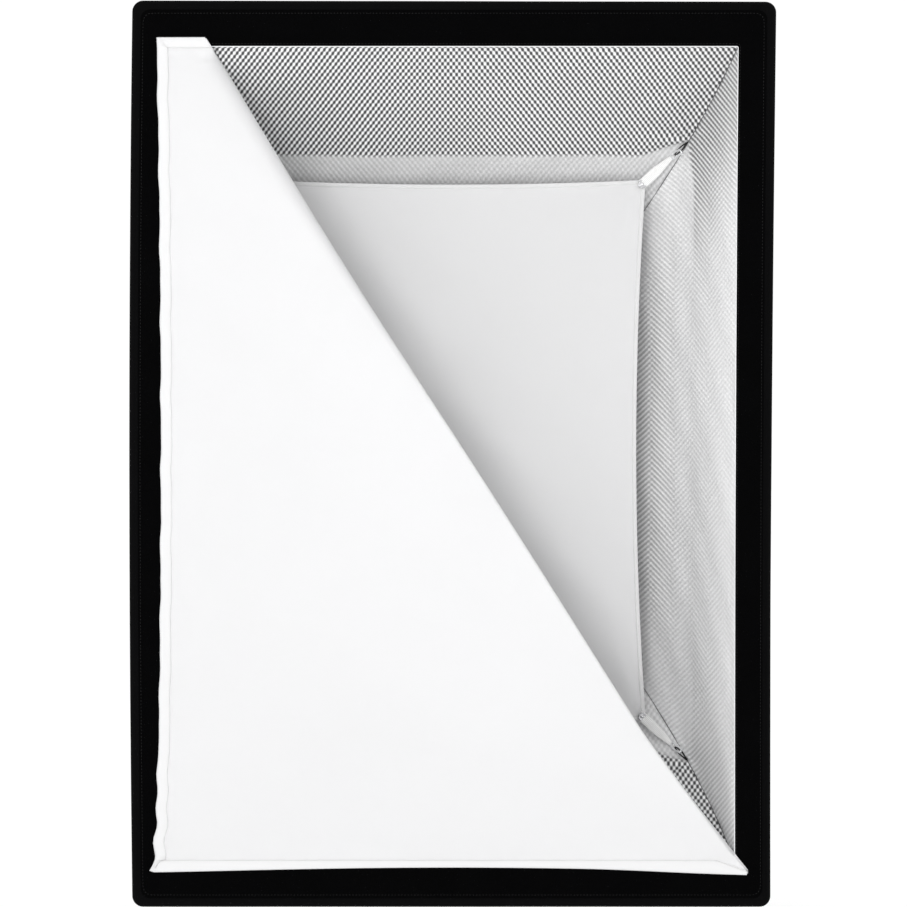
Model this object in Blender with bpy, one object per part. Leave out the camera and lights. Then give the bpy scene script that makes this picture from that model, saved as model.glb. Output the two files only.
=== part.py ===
"""A 70 x 100 cm rectangular softbox on a rotating speedring.

Metres, +Z up. The open front faces -Y and the optical axis is Y. The origin is the centre of the
bayonet's rear face, where the box meets a studio light. Depths are counted back from the front lip.
"""
import math

import bmesh
import bpy
from mathutils import Matrix, Vector

# ---- driving dimensions -----------------------------------------------------------------------
WIDTH = 0.710            # outside of the lip, along X
HEIGHT = 1.000           # outside of the lip, along Z
DEPTH = 0.455            # front lip to the bayonet's rear face
LIP_SIDE = 0.0395        # width of the left and right lips
LIP_END = 0.0483         # width of the top and bottom lips
CLEARANCE = 0.0003       # gap between pieces that touch

FABRIC = 0.0012          # thickness of the shell, lining, lip and collar
SEAM_INSET = 0.0018      # how far a panel's edge stops short of its corner seam
PANEL_ROWS = 8           # rows of faces from the rear of a panel to its front
PANEL_COLUMNS = 6        # columns of faces across a panel
LINING_SAG = 0.004       # how far the middle of a panel is pulled in between its seams
SHELL_SAG = 0.012

# Each corner line is bowed: its rear and front ends as (x, z, depth), and its bow as (x, z).
LINING_LINE = {"rear": (0.060, 0.062, 0.385), "front": (0.3155, 0.4517, 0.002), "bow": (0.039, 0.024)}
SHELL_LINE = {"rear": (0.100, 0.100, 0.408), "front": (0.3540, 0.4990, 0.003), "bow": (0.018, 0.002)}
ROD_LINE = {"rear": (0.060, 0.066, 0.395), "front": (0.334, 0.466, 0.022), "bow": (0.030, 0.008)}

LIP_BAND = 0.0095        # bare lip outside the loop tape, which starts at the lining's edge
LOOP_TAPE_THICKNESS = 0.0010

# ---- front diffuser ---------------------------------------------------------------------------
DIFFUSER_HALF_WIDTH = 0.328
DIFFUSER_HALF_HEIGHT = 0.4615
DIFFUSER_THICKNESS = 0.0010
FOLD_TOP_X = -0.270      # where the fold meets the top hem; it ends at the lower right corner
FOLD_BOW = 0.0177        # how far the fold sags to the left of a straight line, at its lowest slack point
FOLD_BOW_AT = 0.83       # share of the height, from the top, where it sags most
FOLD_COLUMNS = 12
BOWED_FLAP_ROWS = 2      # rows of the flap that follow the bow of the fold
# The loose corner hangs behind the fold: (left x, left z, right x, right z, depth) of each row.
FLAP_ROWS = (
    (-0.2500, 0.4380, 0.3100, -0.4270, 0.004),
    (-0.2561, 0.4380, 0.3030, -0.4270, 0.010),
    (-0.2620, 0.3000, 0.2000, -0.4000, 0.030),
    (-0.2620, 0.1200, 0.0500, -0.3700, 0.045),
    (-0.2580, -0.0500, -0.1000, -0.3000, 0.050),
)

# ---- inner baffle and its straps --------------------------------------------------------------
BAFFLE_DEPTH = 0.150
BAFFLE_HALF_WIDTH = 0.2240
BAFFLE_HALF_HEIGHT = 0.3115
BAFFLE_PULL_SIDE = 0.0110    # how far the long edges curve in at their middle
BAFFLE_PULL_END = 0.0055     # the same for the short edges
BAFFLE_THICKNESS = 0.0010
BAFFLE_EDGE_STEPS = 8
SNAP_AT = (0.2190, 0.3060)   # centre of the corner snap, in x and z
SNAP_CAP_RADIUS = 0.0052
SNAP_CROWN_RADIUS = 0.0042
SNAP_CROWN_HEIGHT = 0.0006
SNAP_POST_RADIUS = 0.0018
SNAP_CAP_THICKNESS = 0.0014
STRAP_THICKNESS = 0.0008
STRAP_WIDTHS = (0.0110, 0.0110, 0.0050)
STRAP_POINTS = ((0.2150, 0.3022, 0.1480), (0.2240, 0.3105, 0.1480), (0.2485, 0.3314, 0.1330))
CLIP_POINTS = ((0.2496, 0.3324, 0.1322), (0.2540, 0.3358, 0.1296))
CLIP_WIDTH = 0.0080
CLIP_THICKNESS = 0.0025
ANCHOR_POINTS = ((0.2547, 0.3364, 0.1290), (0.2600, 0.3408, 0.1258))
ANCHOR_WIDTH = 0.0035
ANCHOR_THICKNESS = 0.0025

# ---- rods -------------------------------------------------------------------------------------
ROD_RADIUS = 0.0035
ROD_STEPS = 14
ROD_SIDES = 10
TIP_RADIUS = 0.0055
TIP_LENGTH = 0.018
POCKET_RADIUS = 0.0085
POCKET_LENGTH = 0.030
BORE_GAP = 0.0004            # radial gap of a rod in its socket or tip, and of a tip in its pocket
BLIND_FLOOR = 0.003          # thickness of the closed end of a socket, tip or pocket
ROD_END_GAP = 0.001          # between a rod's end and the floor of its socket

# ---- rear hardware: y runs from the bayonet's rear face (0) forwards (negative) -----------------
ROUND_SIDES = 48
LIGHT_BORE_RADIUS = 0.049
SPIGOT_RADIUS = 0.0585
SPIGOT_LENGTH = 0.012
LUG_RADIUS = 0.0635
LUG_THICKNESS = 0.003
LUG_COUNT = 3
LUG_ANGLE = math.radians(40)
LUG_ARC_STEPS = 6
LUG_SETBACK = 0.0005         # how far the lugs stand in front of the spigot's rear face
LUG_ROOT = 0.002             # how deep a lug is rooted in the spigot
FLANGE_RADIUS = 0.074
FLANGE_THICKNESS = 0.004
HUB_RADIUS = 0.0655
HUB_LENGTH = 0.018
RING_RUNNING_GAP = 0.0005    # radial clearance between the hub and the speedring
RING_RADIUS = 0.085
RING_THICKNESS = 0.014
RETAINER_RADIUS = 0.0700
RETAINER_THICKNESS = 0.0016
RETAINER_RECESS = 0.0005     # how far the retaining ring lies behind the speedring's front face
RETAINER_GAP = 0.0012        # radial gap round the retaining ring
GROOVE_DEPTH = 0.0025
EAR_CENTRE = 0.0885          # centre of each ear, out from the axis
EAR_RADIUS = 0.0135
EAR_THICKNESS = 0.006
SOCKET_RADIUS = 0.0065
SOCKET_GRIP = 0.035          # length of rod held in its socket
FOOT_THICKNESS = 0.003
FOOT_INNER = 0.0735
FOOT_OUTER = 0.1010
FOOT_WIDTH = 0.018
WEB_WIDTH = 0.008
WEB_OUTER = 0.0870
WEB_OVERLAP = 0.001          # how deep the web is welded into the foot
SCREW_CENTRE = 0.0955
SCREW_RADIUS = 0.0020
SCREW_HEAD_RADIUS = 0.0040
SCREW_HEAD_HEIGHT = 0.0024
COLLAR_START = 0.4093        # depth of the collar's front edge, just behind the shell
COLLAR_HEM = ((0.4205, 0.106), (0.4330, 0.106), (0.4345, 0.0890))   # (depth, radius) round the ring
COLLAR_SHAPING_ROWS = 4      # rows in which the collar goes from square to round
COLLAR_COLUMNS = 40

# ---- rotation lock, on top of the speedring -----------------------------------------------------
LOCK_SCREW_RADIUS = 0.0030
LOCK_HOLE_RADIUS = 0.0036
LOCK_PAD_LENGTH = 0.0032
KNOB_START = 0.108
KNOB_LENGTH = 0.014
KNOB_RADIUS = 0.0115
KNOB_LOBES = 6
KNOB_LOBE_DEPTH = 0.09
KNOB_SIDES = 36
KNOB_NECK_RADIUS = 0.0063
KNOB_NECK_LENGTH = 0.006
KNOB_EDGE = 0.0015           # height of the knob's rounded edges
COLLAR_KNOB_HOLE = 0.0090    # radius of the collar's hole round the knob's neck

CUTTER_REACH = 0.010         # how far a drill goes past the face that it pierces

# planes of the hardware across the optical axis, worked out from the sizes above
FLANGE_FRONT = -SPIGOT_LENGTH - FLANGE_THICKNESS
HUB_FRONT = FLANGE_FRONT - HUB_LENGTH
RING_REAR = FLANGE_FRONT - CLEARANCE
RING_FRONT = RING_REAR - RING_THICKNESS
RETAINER_REAR = RING_FRONT + RETAINER_THICKNESS + RETAINER_RECESS
RETAINER_FRONT = RETAINER_REAR - RETAINER_THICKNESS
LOCK_AXIS_Y = (RING_REAR + RING_FRONT) / 2

CORNERS = {
    "top_right": (1, 1),
    "top_left": (-1, 1),
    "bottom_left": (-1, -1),
    "bottom_right": (1, -1),
}


# ---- helpers ----------------------------------------------------------------------------------
def y_at(depth):
    """The y of a plane that lies this far behind the front lip."""
    return depth - DEPTH


def place(x, z, depth):
    return Vector((x, y_at(depth), z))


def mirrored(point, signs):
    """The same point in another corner of the box."""
    return Vector((point[0] * signs[0], point[1], point[2] * signs[1]))


def bowed(line, t):
    """A point on a bowed corner line: t is 0 at its rear end and 1 at its front."""
    rear, front, bow = line["rear"], line["front"], line["bow"]
    arch = 4 * t * (1 - t)
    x = rear[0] + (front[0] - rear[0]) * t + bow[0] * arch
    z = rear[1] + (front[1] - rear[1]) * t + bow[1] * arch
    return place(x, z, rear[2] + (front[2] - rear[2]) * t)


def rod_start():
    """Where a rod leaves its socket, and its direction there, for the top right corner."""
    mouth = bowed(ROD_LINE, 0.0)
    return mouth, (bowed(ROD_LINE, 0.01) - mouth).normalized()


def fold_bow(share):
    """How far the fold lies to the left of its straight line, at a share of its height."""
    if share < FOLD_BOW_AT:
        return FOLD_BOW * share / FOLD_BOW_AT
    return FOLD_BOW * (1 - ((share - FOLD_BOW_AT) / (1 - FOLD_BOW_AT)) ** 1.35)


def material(name, color, roughness, metallic=0.0):
    found = bpy.data.materials.get(name) or bpy.data.materials.new(name)
    found.use_nodes = True
    shader = found.node_tree.nodes["Principled BSDF"]
    shader.inputs["Base Color"].default_value = (*color, 1.0)
    shader.inputs["Roughness"].default_value = roughness
    shader.inputs["Metallic"].default_value = metallic
    return found


def finish(name, mesh_data, look, smooth=False):
    """Writes a bmesh to a new object with its material, faces pointing out."""
    bmesh.ops.recalc_face_normals(mesh_data, faces=mesh_data.faces)
    mesh = bpy.data.meshes.new(name)
    mesh_data.to_mesh(mesh)
    mesh_data.free()
    if smooth:
        mesh.shade_smooth()
        mesh.set_sharp_from_angle(angle=math.radians(35))
    mesh.materials.append(look)
    made = bpy.data.objects.new(name, mesh)
    bpy.context.scene.collection.objects.link(made)
    return made


def skin_rings(mesh_data, rings, closed_loop=False):
    """Joins rings of points into a closed surface; without closed_loop its ends are capped."""
    rows = [[mesh_data.verts.new(p) for p in ring] for ring in rings]
    count = len(rows[0])
    pairs = list(zip(rows, rows[1:]))
    if closed_loop:
        pairs.append((rows[-1], rows[0]))
    for low, high in pairs:
        for i in range(count):
            j = (i + 1) % count
            mesh_data.faces.new((low[i], low[j], high[j], high[i]))
    if not closed_loop:
        mesh_data.faces.new(rows[0])
        mesh_data.faces.new(rows[-1])


def circle(radius, height, sides=ROUND_SIDES):
    """Points round the local Y axis."""
    turn = 2 * math.pi / sides
    return [Vector((radius * math.cos(i * turn), height, radius * math.sin(i * turn))) for i in range(sides)]


def turned_ring(name, profile, look, sides=ROUND_SIDES):
    """A ring turned about Y from a closed profile of (radius, y)."""
    shape = bmesh.new()
    skin_rings(shape, [circle(radius, y, sides) for radius, y in profile], closed_loop=True)
    return finish(name, shape, look, smooth=True)


def turned_solid(name, profile, look, sides=ROD_SIDES):
    """A solid turned about Y from an open profile of (radius, y), capped at both ends."""
    shape = bmesh.new()
    skin_rings(shape, [circle(radius, y, sides) for radius, y in profile])
    return finish(name, shape, look, smooth=True)


def swept_rod(name, points, radius, look, sides=ROD_SIDES):
    """A round bar along a smooth line of points."""
    shape = bmesh.new()
    rings = []
    side = Vector((0, 1, 0)).cross(points[1] - points[0]).normalized()
    for i, point in enumerate(points):
        along = (points[min(i + 1, len(points) - 1)] - points[max(i - 1, 0)]).normalized()
        side = (side - along * side.dot(along)).normalized()
        up = along.cross(side)
        turn = 2 * math.pi / sides
        rings.append([
            point + side * radius * math.cos(k * turn) + up * radius * math.sin(k * turn)
            for k in range(sides)
        ])
    skin_rings(shape, rings)
    return finish(name, shape, look, smooth=True)


def plate(name, outline, front_depth, thickness, look):
    """A flat plate: its outline in (x, z), its front face at a depth, its thickness going back."""
    shape = bmesh.new()
    layers = [[place(x, z, depth) for x, z in outline] for depth in (front_depth, front_depth + thickness)]
    skin_rings(shape, layers)
    return finish(name, shape, look)


def cloth(name, grid, thickness, look):
    """A curved sheet with thickness, from rows of points."""
    shape = bmesh.new()
    rows = [[shape.verts.new(p) for p in row] for row in grid]
    for low, high in zip(rows, rows[1:]):
        for i in range(len(low) - 1):
            shape.faces.new((low[i], low[i + 1], high[i + 1], high[i]))
    made = finish(name, shape, look, smooth=True)
    thicken(made, thickness)
    return made


def thicken(made, thickness):
    solidify = made.modifiers.new("thickness", "SOLIDIFY")
    solidify.thickness = thickness
    solidify.offset = 0.0


def band(name, points, widths, thickness, look):
    """A flat band along points, with a width at each; its flat side looks to the front."""
    shape = bmesh.new()
    rings = []
    for i, point in enumerate(points):
        along = (points[min(i + 1, len(points) - 1)] - points[max(i - 1, 0)]).normalized()
        across = along.cross(Vector((0, 1, 0))).normalized()
        normal = across.cross(along)
        half = across * widths[i] / 2
        lift = normal * thickness / 2
        rings.append([point - half - lift, point + half - lift, point + half + lift, point - half + lift])
    skin_rings(shape, rings)
    return finish(name, shape, look)


def hidden(tool):
    """A boolean's tool is a guide and not a piece of the softbox."""
    tool.hide_render = True
    tool.display_type = "WIRE"
    return tool


def combine(target, tool, operation):
    boolean = target.modifiers.new(operation.lower(), "BOOLEAN")
    boolean.operation = operation
    boolean.object = hidden(tool)


def aim(made, start, direction):
    """Stands an object that was made along its own Y at start, pointing along direction."""
    made.matrix_world = Matrix.Translation(start) @ direction.to_track_quat("Y", "Z").to_matrix().to_4x4()
    return made


def stand_at(made, azimuth, origin=Vector((0, 0, 0))):
    """Turns an object about the optical axis so that its own X points along an azimuth."""
    made.matrix_world = Matrix.Translation(origin) @ Matrix.Rotation(-azimuth, 4, "Y")
    return made


# ---- materials --------------------------------------------------------------------------------
def make_looks():
    return {
        "alloy": material("cast_alloy", (0.62, 0.63, 0.65), 0.38, 1.0),
        "black_metal": material("black_painted_metal", (0.03, 0.03, 0.032), 0.45, 0.6),
        "steel": material("steel", (0.55, 0.55, 0.57), 0.30, 1.0),
        "rod": material("spring_steel_rod", (0.42, 0.42, 0.44), 0.32, 1.0),
        "plastic": material("black_plastic", (0.02, 0.02, 0.022), 0.50),
        "nylon_pad": material("white_nylon", (0.85, 0.85, 0.83), 0.45),
        "shell": material("black_shell_fabric", (0.012, 0.012, 0.014), 0.75),
        "loop": material("black_loop_tape", (0.005, 0.005, 0.005), 0.95),
        "silver": material("silver_lining_fabric", (0.78, 0.79, 0.80), 0.32, 0.85),
        "white": material("white_diffusion_fabric", (0.93, 0.93, 0.93), 0.85),
        "elastic": material("white_elastic", (0.88, 0.88, 0.87), 0.80),
        "clear": material("frosted_plastic", (0.80, 0.81, 0.82), 0.25),
    }


# ---- fabric -----------------------------------------------------------------------------------
def panel_grid(line, side, sag):
    """Rows of points over one panel, between the corner lines at its two ends.

    side is a corner pair: the panel runs from the first corner to the second.
    """
    first, second = side
    inward = -Vector(((first[0] + second[0]) / 2, 0, (first[1] + second[1]) / 2))
    grid = []
    for row in range(PANEL_ROWS + 1):
        t = row / PANEL_ROWS
        corner = bowed(line, t)
        start, end = mirrored(corner, first), mirrored(corner, second)
        across = (end - start).normalized()
        start = start + across * SEAM_INSET
        end = end - across * SEAM_INSET
        points = []
        for column in range(PANEL_COLUMNS + 1):
            u = column / PANEL_COLUMNS
            pulled = sag * 4 * t * (1 - t) * 4 * u * (1 - u)
            points.append(start.lerp(end, u) + inward * pulled)
        grid.append(points)
    return grid


SIDES = {
    "top": (CORNERS["top_left"], CORNERS["top_right"]),
    "right": (CORNERS["top_right"], CORNERS["bottom_right"]),
    "bottom": (CORNERS["bottom_right"], CORNERS["bottom_left"]),
    "left": (CORNERS["bottom_left"], CORNERS["top_left"]),
}


def make_panels(looks):
    for name, side in SIDES.items():
        shell, lining = panel_grid(SHELL_LINE, side, SHELL_SAG), panel_grid(LINING_LINE, side, LINING_SAG)
        cloth("outer_panel_" + name, shell, FABRIC, looks["shell"])
        cloth("lining_panel_" + name, lining, FABRIC, looks["silver"])


def frame_outline(side, inner, outer, end_gap):
    """One mitred side of a rectangular frame, between its inner and outer half sizes (x, z)."""
    corners = []
    for half, pair in ((inner, side), (outer, side[::-1])):
        for signs in pair:
            corners.append(Vector((half[0] * signs[0], half[1] * signs[1])))
    along = (corners[1] - corners[0]).normalized() * end_gap
    shifts = (along, -along, -along, along)
    return [(c + shift)[:] for c, shift in zip(corners, shifts)]


def make_lip(looks):
    """The flat lip round the front, and the loop tape sewn on it for the diffuser."""
    outer = (WIDTH / 2, HEIGHT / 2)
    inner = (WIDTH / 2 - LIP_SIDE, HEIGHT / 2 - LIP_END)
    tape_outer = (outer[0] - LIP_BAND, outer[1] - LIP_BAND)
    tape_front = -CLEARANCE - LOOP_TAPE_THICKNESS
    for name, side in SIDES.items():
        lip = frame_outline(side, inner, outer, CLEARANCE)
        tape = frame_outline(side, inner, tape_outer, CLEARANCE)
        plate("lip_" + name, lip, 0.0, FABRIC, looks["shell"])
        plate("loop_tape_" + name, tape, tape_front, LOOP_TAPE_THICKNESS, looks["loop"])


def make_collar(looks):
    """The gathered collar that closes the shell round the speedring and its ears."""
    square = SHELL_LINE["rear"][0]
    first_depth, first_radius = COLLAR_HEM[0]
    rows = []
    for row in range(COLLAR_SHAPING_ROWS):
        t = row / COLLAR_SHAPING_ROWS
        rows.append((COLLAR_START + t * (first_depth - COLLAR_START), first_radius, t))
    rows += [(depth, radius, 1.0) for depth, radius in COLLAR_HEM]
    shape = bmesh.new()
    rings = []
    for depth, radius, roundness in rows:
        ring = []
        for column in range(COLLAR_COLUMNS):
            angle = 2 * math.pi * column / COLLAR_COLUMNS
            c, s = math.cos(angle), math.sin(angle)
            to_square = square / max(abs(c), abs(s))
            reach = to_square + (radius - to_square) * roundness
            ring.append(shape.verts.new(place(reach * c, reach * s, depth)))
        rings.append(ring)
    for low, high in zip(rings, rings[1:]):
        for i in range(COLLAR_COLUMNS):
            j = (i + 1) % COLLAR_COLUMNS
            shape.faces.new((low[i], low[j], high[j], high[i]))
    collar = finish("rear_collar", shape, looks["shell"], smooth=True)
    thicken(collar, FABRIC)
    profile = [(COLLAR_KNOB_HOLE, RING_RADIUS), (COLLAR_KNOB_HOLE, KNOB_START + KNOB_LENGTH)]
    opening = turned_solid("collar_knob_opening", profile, looks["shell"], sides=16)
    aim(opening, Vector((0, LOCK_AXIS_Y, 0)), Vector((0, 0, 1)))
    combine(collar, opening, "DIFFERENCE")


def make_front_diffuser(looks):
    """The front sheet: stuck down on the left, its loose corner folded under along a diagonal."""
    right, top = DIFFUSER_HALF_WIDTH, DIFFUSER_HALF_HEIGHT
    depth = -CLEARANCE * 2 - LOOP_TAPE_THICKNESS - DIFFUSER_THICKNESS / 2
    slope = (right - FOLD_TOP_X) / (2 * top)
    shape = bmesh.new()

    def fold_point(z):
        straight = FOLD_TOP_X + (top - z) * slope
        return place(straight - fold_bow((top - z) / (2 * top)), z, depth)

    first_z, last_z = FLAP_ROWS[1][1], FLAP_ROWS[1][3]
    heights = [first_z + (last_z - first_z) * i / FOLD_COLUMNS for i in range(FOLD_COLUMNS + 1)]
    heights = [top] + heights + [-top]
    stuck = [shape.verts.new(place(-right, z, depth)) for z in heights]
    fold = [shape.verts.new(fold_point(z)) for z in heights]
    for i in range(len(heights) - 1):
        shape.faces.new((stuck[i], fold[i], fold[i + 1], stuck[i + 1]))
    above = fold[1:-1]
    for index, (left_x, left_z, right_x, right_z, row_depth) in enumerate(FLAP_ROWS):
        left, end_point = place(left_x, left_z, row_depth), place(right_x, right_z, row_depth)
        row = []
        for i in range(FOLD_COLUMNS + 1):
            point = left.lerp(end_point, i / FOLD_COLUMNS)
            if index < BOWED_FLAP_ROWS:
                point.x -= fold_bow((top - point.z) / (2 * top))
            row.append(shape.verts.new(point))
        for i in range(FOLD_COLUMNS):
            shape.faces.new((above[i], above[i + 1], row[i + 1], row[i]))
        above = row
    thicken(finish("front_diffuser", shape, looks["white"]), DIFFUSER_THICKNESS)


# ---- inner baffle -----------------------------------------------------------------------------
def baffle_outline():
    """A rectangle whose edges are pulled in between its corners."""
    points = []
    for name in ("top", "right", "bottom", "left"):
        first, second = SIDES[name]
        start = Vector((BAFFLE_HALF_WIDTH * first[0], BAFFLE_HALF_HEIGHT * first[1]))
        end = Vector((BAFFLE_HALF_WIDTH * second[0], BAFFLE_HALF_HEIGHT * second[1]))
        pull = BAFFLE_PULL_END if name in ("top", "bottom") else BAFFLE_PULL_SIDE
        inward = -Vector((first[0] + second[0], first[1] + second[1])) / 2
        for step in range(BAFFLE_EDGE_STEPS):
            u = step / BAFFLE_EDGE_STEPS
            points.append((start.lerp(end, u) + inward * pull * 4 * u * (1 - u))[:])
    return points


def make_baffle(looks):
    baffle = plate("inner_baffle", baffle_outline(), BAFFLE_DEPTH, BAFFLE_THICKNESS, looks["white"])
    hole_radius = SNAP_POST_RADIUS + CLEARANCE
    snap_front = STRAP_POINTS[0][2] - STRAP_THICKNESS / 2 - CLEARANCE - SNAP_CAP_THICKNESS
    snap_rear = BAFFLE_DEPTH + BAFFLE_THICKNESS + CLEARANCE
    for corner, signs in CORNERS.items():
        centre = mirrored(place(SNAP_AT[0], SNAP_AT[1], 0), signs)

        def hole(name):
            reach = (BAFFLE_DEPTH - CUTTER_REACH, BAFFLE_DEPTH + CUTTER_REACH)
            cutter = turned_solid(name, [(hole_radius, reach[0]), (hole_radius, reach[1])], looks["steel"])
            cutter.location = centre
            return cutter

        combine(baffle, hole("baffle_hole_" + corner), "DIFFERENCE")
        points = [mirrored(place(*p), signs) for p in STRAP_POINTS]
        strap = band("baffle_strap_" + corner, points, STRAP_WIDTHS, STRAP_THICKNESS, looks["elastic"])
        combine(strap, hole("strap_hole_" + corner), "DIFFERENCE")
        profile = [
            (SNAP_CROWN_RADIUS, snap_front),
            (SNAP_CAP_RADIUS, snap_front + SNAP_CROWN_HEIGHT),
            (SNAP_CAP_RADIUS, snap_front + SNAP_CAP_THICKNESS),
            (SNAP_POST_RADIUS, snap_front + SNAP_CAP_THICKNESS),
            (SNAP_POST_RADIUS, snap_rear),
            (SNAP_CAP_RADIUS, snap_rear),
            (SNAP_CAP_RADIUS, snap_rear + SNAP_CAP_THICKNESS),
        ]
        snap = turned_solid("baffle_snap_" + corner, profile, looks["steel"], sides=12)
        snap.location = centre
        clip = [mirrored(place(*p), signs) for p in CLIP_POINTS]
        band("strap_clip_" + corner, clip, (CLIP_WIDTH, CLIP_WIDTH), CLIP_THICKNESS, looks["clear"])
        loop = [mirrored(place(*p), signs) for p in ANCHOR_POINTS]
        widths = (ANCHOR_WIDTH, ANCHOR_WIDTH)
        band("strap_anchor_" + corner, loop, widths, ANCHOR_THICKNESS, looks["plastic"])


# ---- rods -------------------------------------------------------------------------------------
def rod_points(signs):
    """Straight in its socket, then bowed out to the front corner."""
    mouth, along = rod_start()
    points = [mouth - along * (SOCKET_GRIP - ROD_END_GAP), mouth - along * SOCKET_GRIP / 3]
    points += [bowed(ROD_LINE, i / ROD_STEPS) for i in range(ROD_STEPS + 1)]
    return [mirrored(p, signs) for p in points]


def cup_profile(outer, inner, length):
    """A blind tube: its rounded end closed at y = 0 behind a floor, its mouth open at -length."""
    return [
        (outer / 2, 0.0),
        (outer, -outer / 2),
        (outer, -length),
        (inner, -length),
        (inner, -BLIND_FLOOR),
    ]


def make_rods(looks):
    for corner, signs in CORNERS.items():
        points = rod_points(signs)
        swept_rod("rod_" + corner, points, ROD_RADIUS, looks["rod"])
        end = points[-1]
        along = (points[-1] - points[-2]).normalized()
        tip_end = end + along * (BLIND_FLOOR + CLEARANCE)
        profile = cup_profile(TIP_RADIUS, ROD_RADIUS + BORE_GAP, TIP_LENGTH)
        tip = turned_solid("rod_tip_" + corner, profile, looks["plastic"], sides=12)
        aim(tip, tip_end, along)
        profile = cup_profile(POCKET_RADIUS, TIP_RADIUS + BORE_GAP, POCKET_LENGTH)
        pocket = turned_solid("corner_pocket_" + corner, profile, looks["shell"], sides=12)
        aim(pocket, tip_end + along * (BLIND_FLOOR + CLEARANCE), along)


# ---- rear hardware ----------------------------------------------------------------------------
def make_insert(looks):
    """The bayonet insert that locks into the light; the speedring turns on its hub."""
    groove = HUB_RADIUS - GROOVE_DEPTH
    profile = [
        (LIGHT_BORE_RADIUS, 0.0),
        (SPIGOT_RADIUS, 0.0),
        (SPIGOT_RADIUS, -SPIGOT_LENGTH),
        (FLANGE_RADIUS, -SPIGOT_LENGTH),
        (FLANGE_RADIUS, FLANGE_FRONT),
        (HUB_RADIUS, FLANGE_FRONT),
        (HUB_RADIUS, RETAINER_REAR + CLEARANCE),
        (groove, RETAINER_REAR + CLEARANCE),
        (groove, RETAINER_FRONT - CLEARANCE),
        (HUB_RADIUS, RETAINER_FRONT - CLEARANCE),
        (HUB_RADIUS, HUB_FRONT),
        (LIGHT_BORE_RADIUS, HUB_FRONT),
    ]
    insert = turned_ring("mount_insert", profile, looks["alloy"])
    for index in range(LUG_COUNT):
        combine(insert, make_lug(index, looks), "UNION")


def make_lug(index, looks):
    """One bayonet lug: a short arc of a ring that stands out of the spigot's rear edge."""
    middle = math.radians(90) + index * 2 * math.pi / LUG_COUNT
    back, front = Vector((0, -LUG_SETBACK, 0)), Vector((0, -LUG_SETBACK - LUG_THICKNESS, 0))
    rings = []
    for step in range(LUG_ARC_STEPS + 1):
        angle = middle + LUG_ANGLE * (step / LUG_ARC_STEPS - 0.5)
        out = Vector((math.cos(angle), 0, math.sin(angle)))
        inner, outer = out * (SPIGOT_RADIUS - LUG_ROOT), out * LUG_RADIUS
        rings.append([inner + back, outer + back, outer + front, inner + front])
    shape = bmesh.new()
    skin_rings(shape, rings)
    return finish(f"lug_{index}", shape, looks["alloy"])


def socket_azimuth(signs):
    """The direction, about the optical axis, in which a rod leaves the speedring."""
    _, along = rod_start()
    return math.atan2(along.z * signs[1], along.x * signs[0])


def upright(name, radius, span, look, distance, azimuth, sides=16):
    """A cylinder along Y between two planes, standing at a distance from the optical axis."""
    made = turned_solid(name, [(radius, span[0]), (radius, span[1])], look, sides=sides)
    made.location = (distance * math.cos(azimuth), 0, distance * math.sin(azimuth))
    return made


def make_speedring(looks):
    """The ring that carries the rods, with an ear for each socket and a hole for the lock screw."""
    inner = HUB_RADIUS + RING_RUNNING_GAP
    counterbore = RETAINER_RADIUS + RETAINER_GAP
    profile = [
        (inner, RING_REAR),
        (RING_RADIUS, RING_REAR),
        (RING_RADIUS, RING_FRONT),
        (counterbore, RING_FRONT),
        (counterbore, RETAINER_REAR + CLEARANCE),
        (inner, RETAINER_REAR + CLEARANCE),
    ]
    ring = turned_ring("speedring", profile, looks["black_metal"])
    for corner, signs in CORNERS.items():
        azimuth = socket_azimuth(signs)
        span = (RING_FRONT + EAR_THICKNESS, RING_FRONT)
        ear = upright("ear_" + corner, EAR_RADIUS, span, looks["black_metal"], EAR_CENTRE, azimuth)
        combine(ring, ear, "UNION")
        span = (RING_FRONT + CUTTER_REACH, RING_FRONT - CUTTER_REACH)
        name = "ear_hole_" + corner
        hole = upright(name, SCREW_RADIUS + CLEARANCE, span, looks["steel"], SCREW_CENTRE, azimuth)
        combine(ring, hole, "DIFFERENCE")
    profile = [(LOCK_HOLE_RADIUS, HUB_RADIUS), (LOCK_HOLE_RADIUS, RING_RADIUS + CUTTER_REACH)]
    bore = turned_solid("lock_bore", profile, looks["steel"])
    aim(bore, Vector((0, LOCK_AXIS_Y, 0)), Vector((0, 0, 1)))
    combine(ring, bore, "DIFFERENCE")


def make_retainer(looks):
    """The ring in the hub's groove that keeps the speedring on the insert."""
    profile = [
        (HUB_RADIUS - GROOVE_DEPTH + CLEARANCE, RETAINER_REAR),
        (RETAINER_RADIUS, RETAINER_REAR),
        (RETAINER_RADIUS, RETAINER_FRONT),
        (HUB_RADIUS - GROOVE_DEPTH + CLEARANCE, RETAINER_FRONT),
    ]
    turned_ring("retaining_ring", profile, looks["steel"])


def box(name, low, high, look):
    shape = bmesh.new()
    bmesh.ops.create_cube(shape, size=1.0)
    size = high - low
    matrix = Matrix.Translation((low + high) / 2) @ Matrix.Diagonal((*size, 1))
    bmesh.ops.transform(shape, matrix=matrix, verts=shape.verts)
    return finish(name, shape, look)


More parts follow.
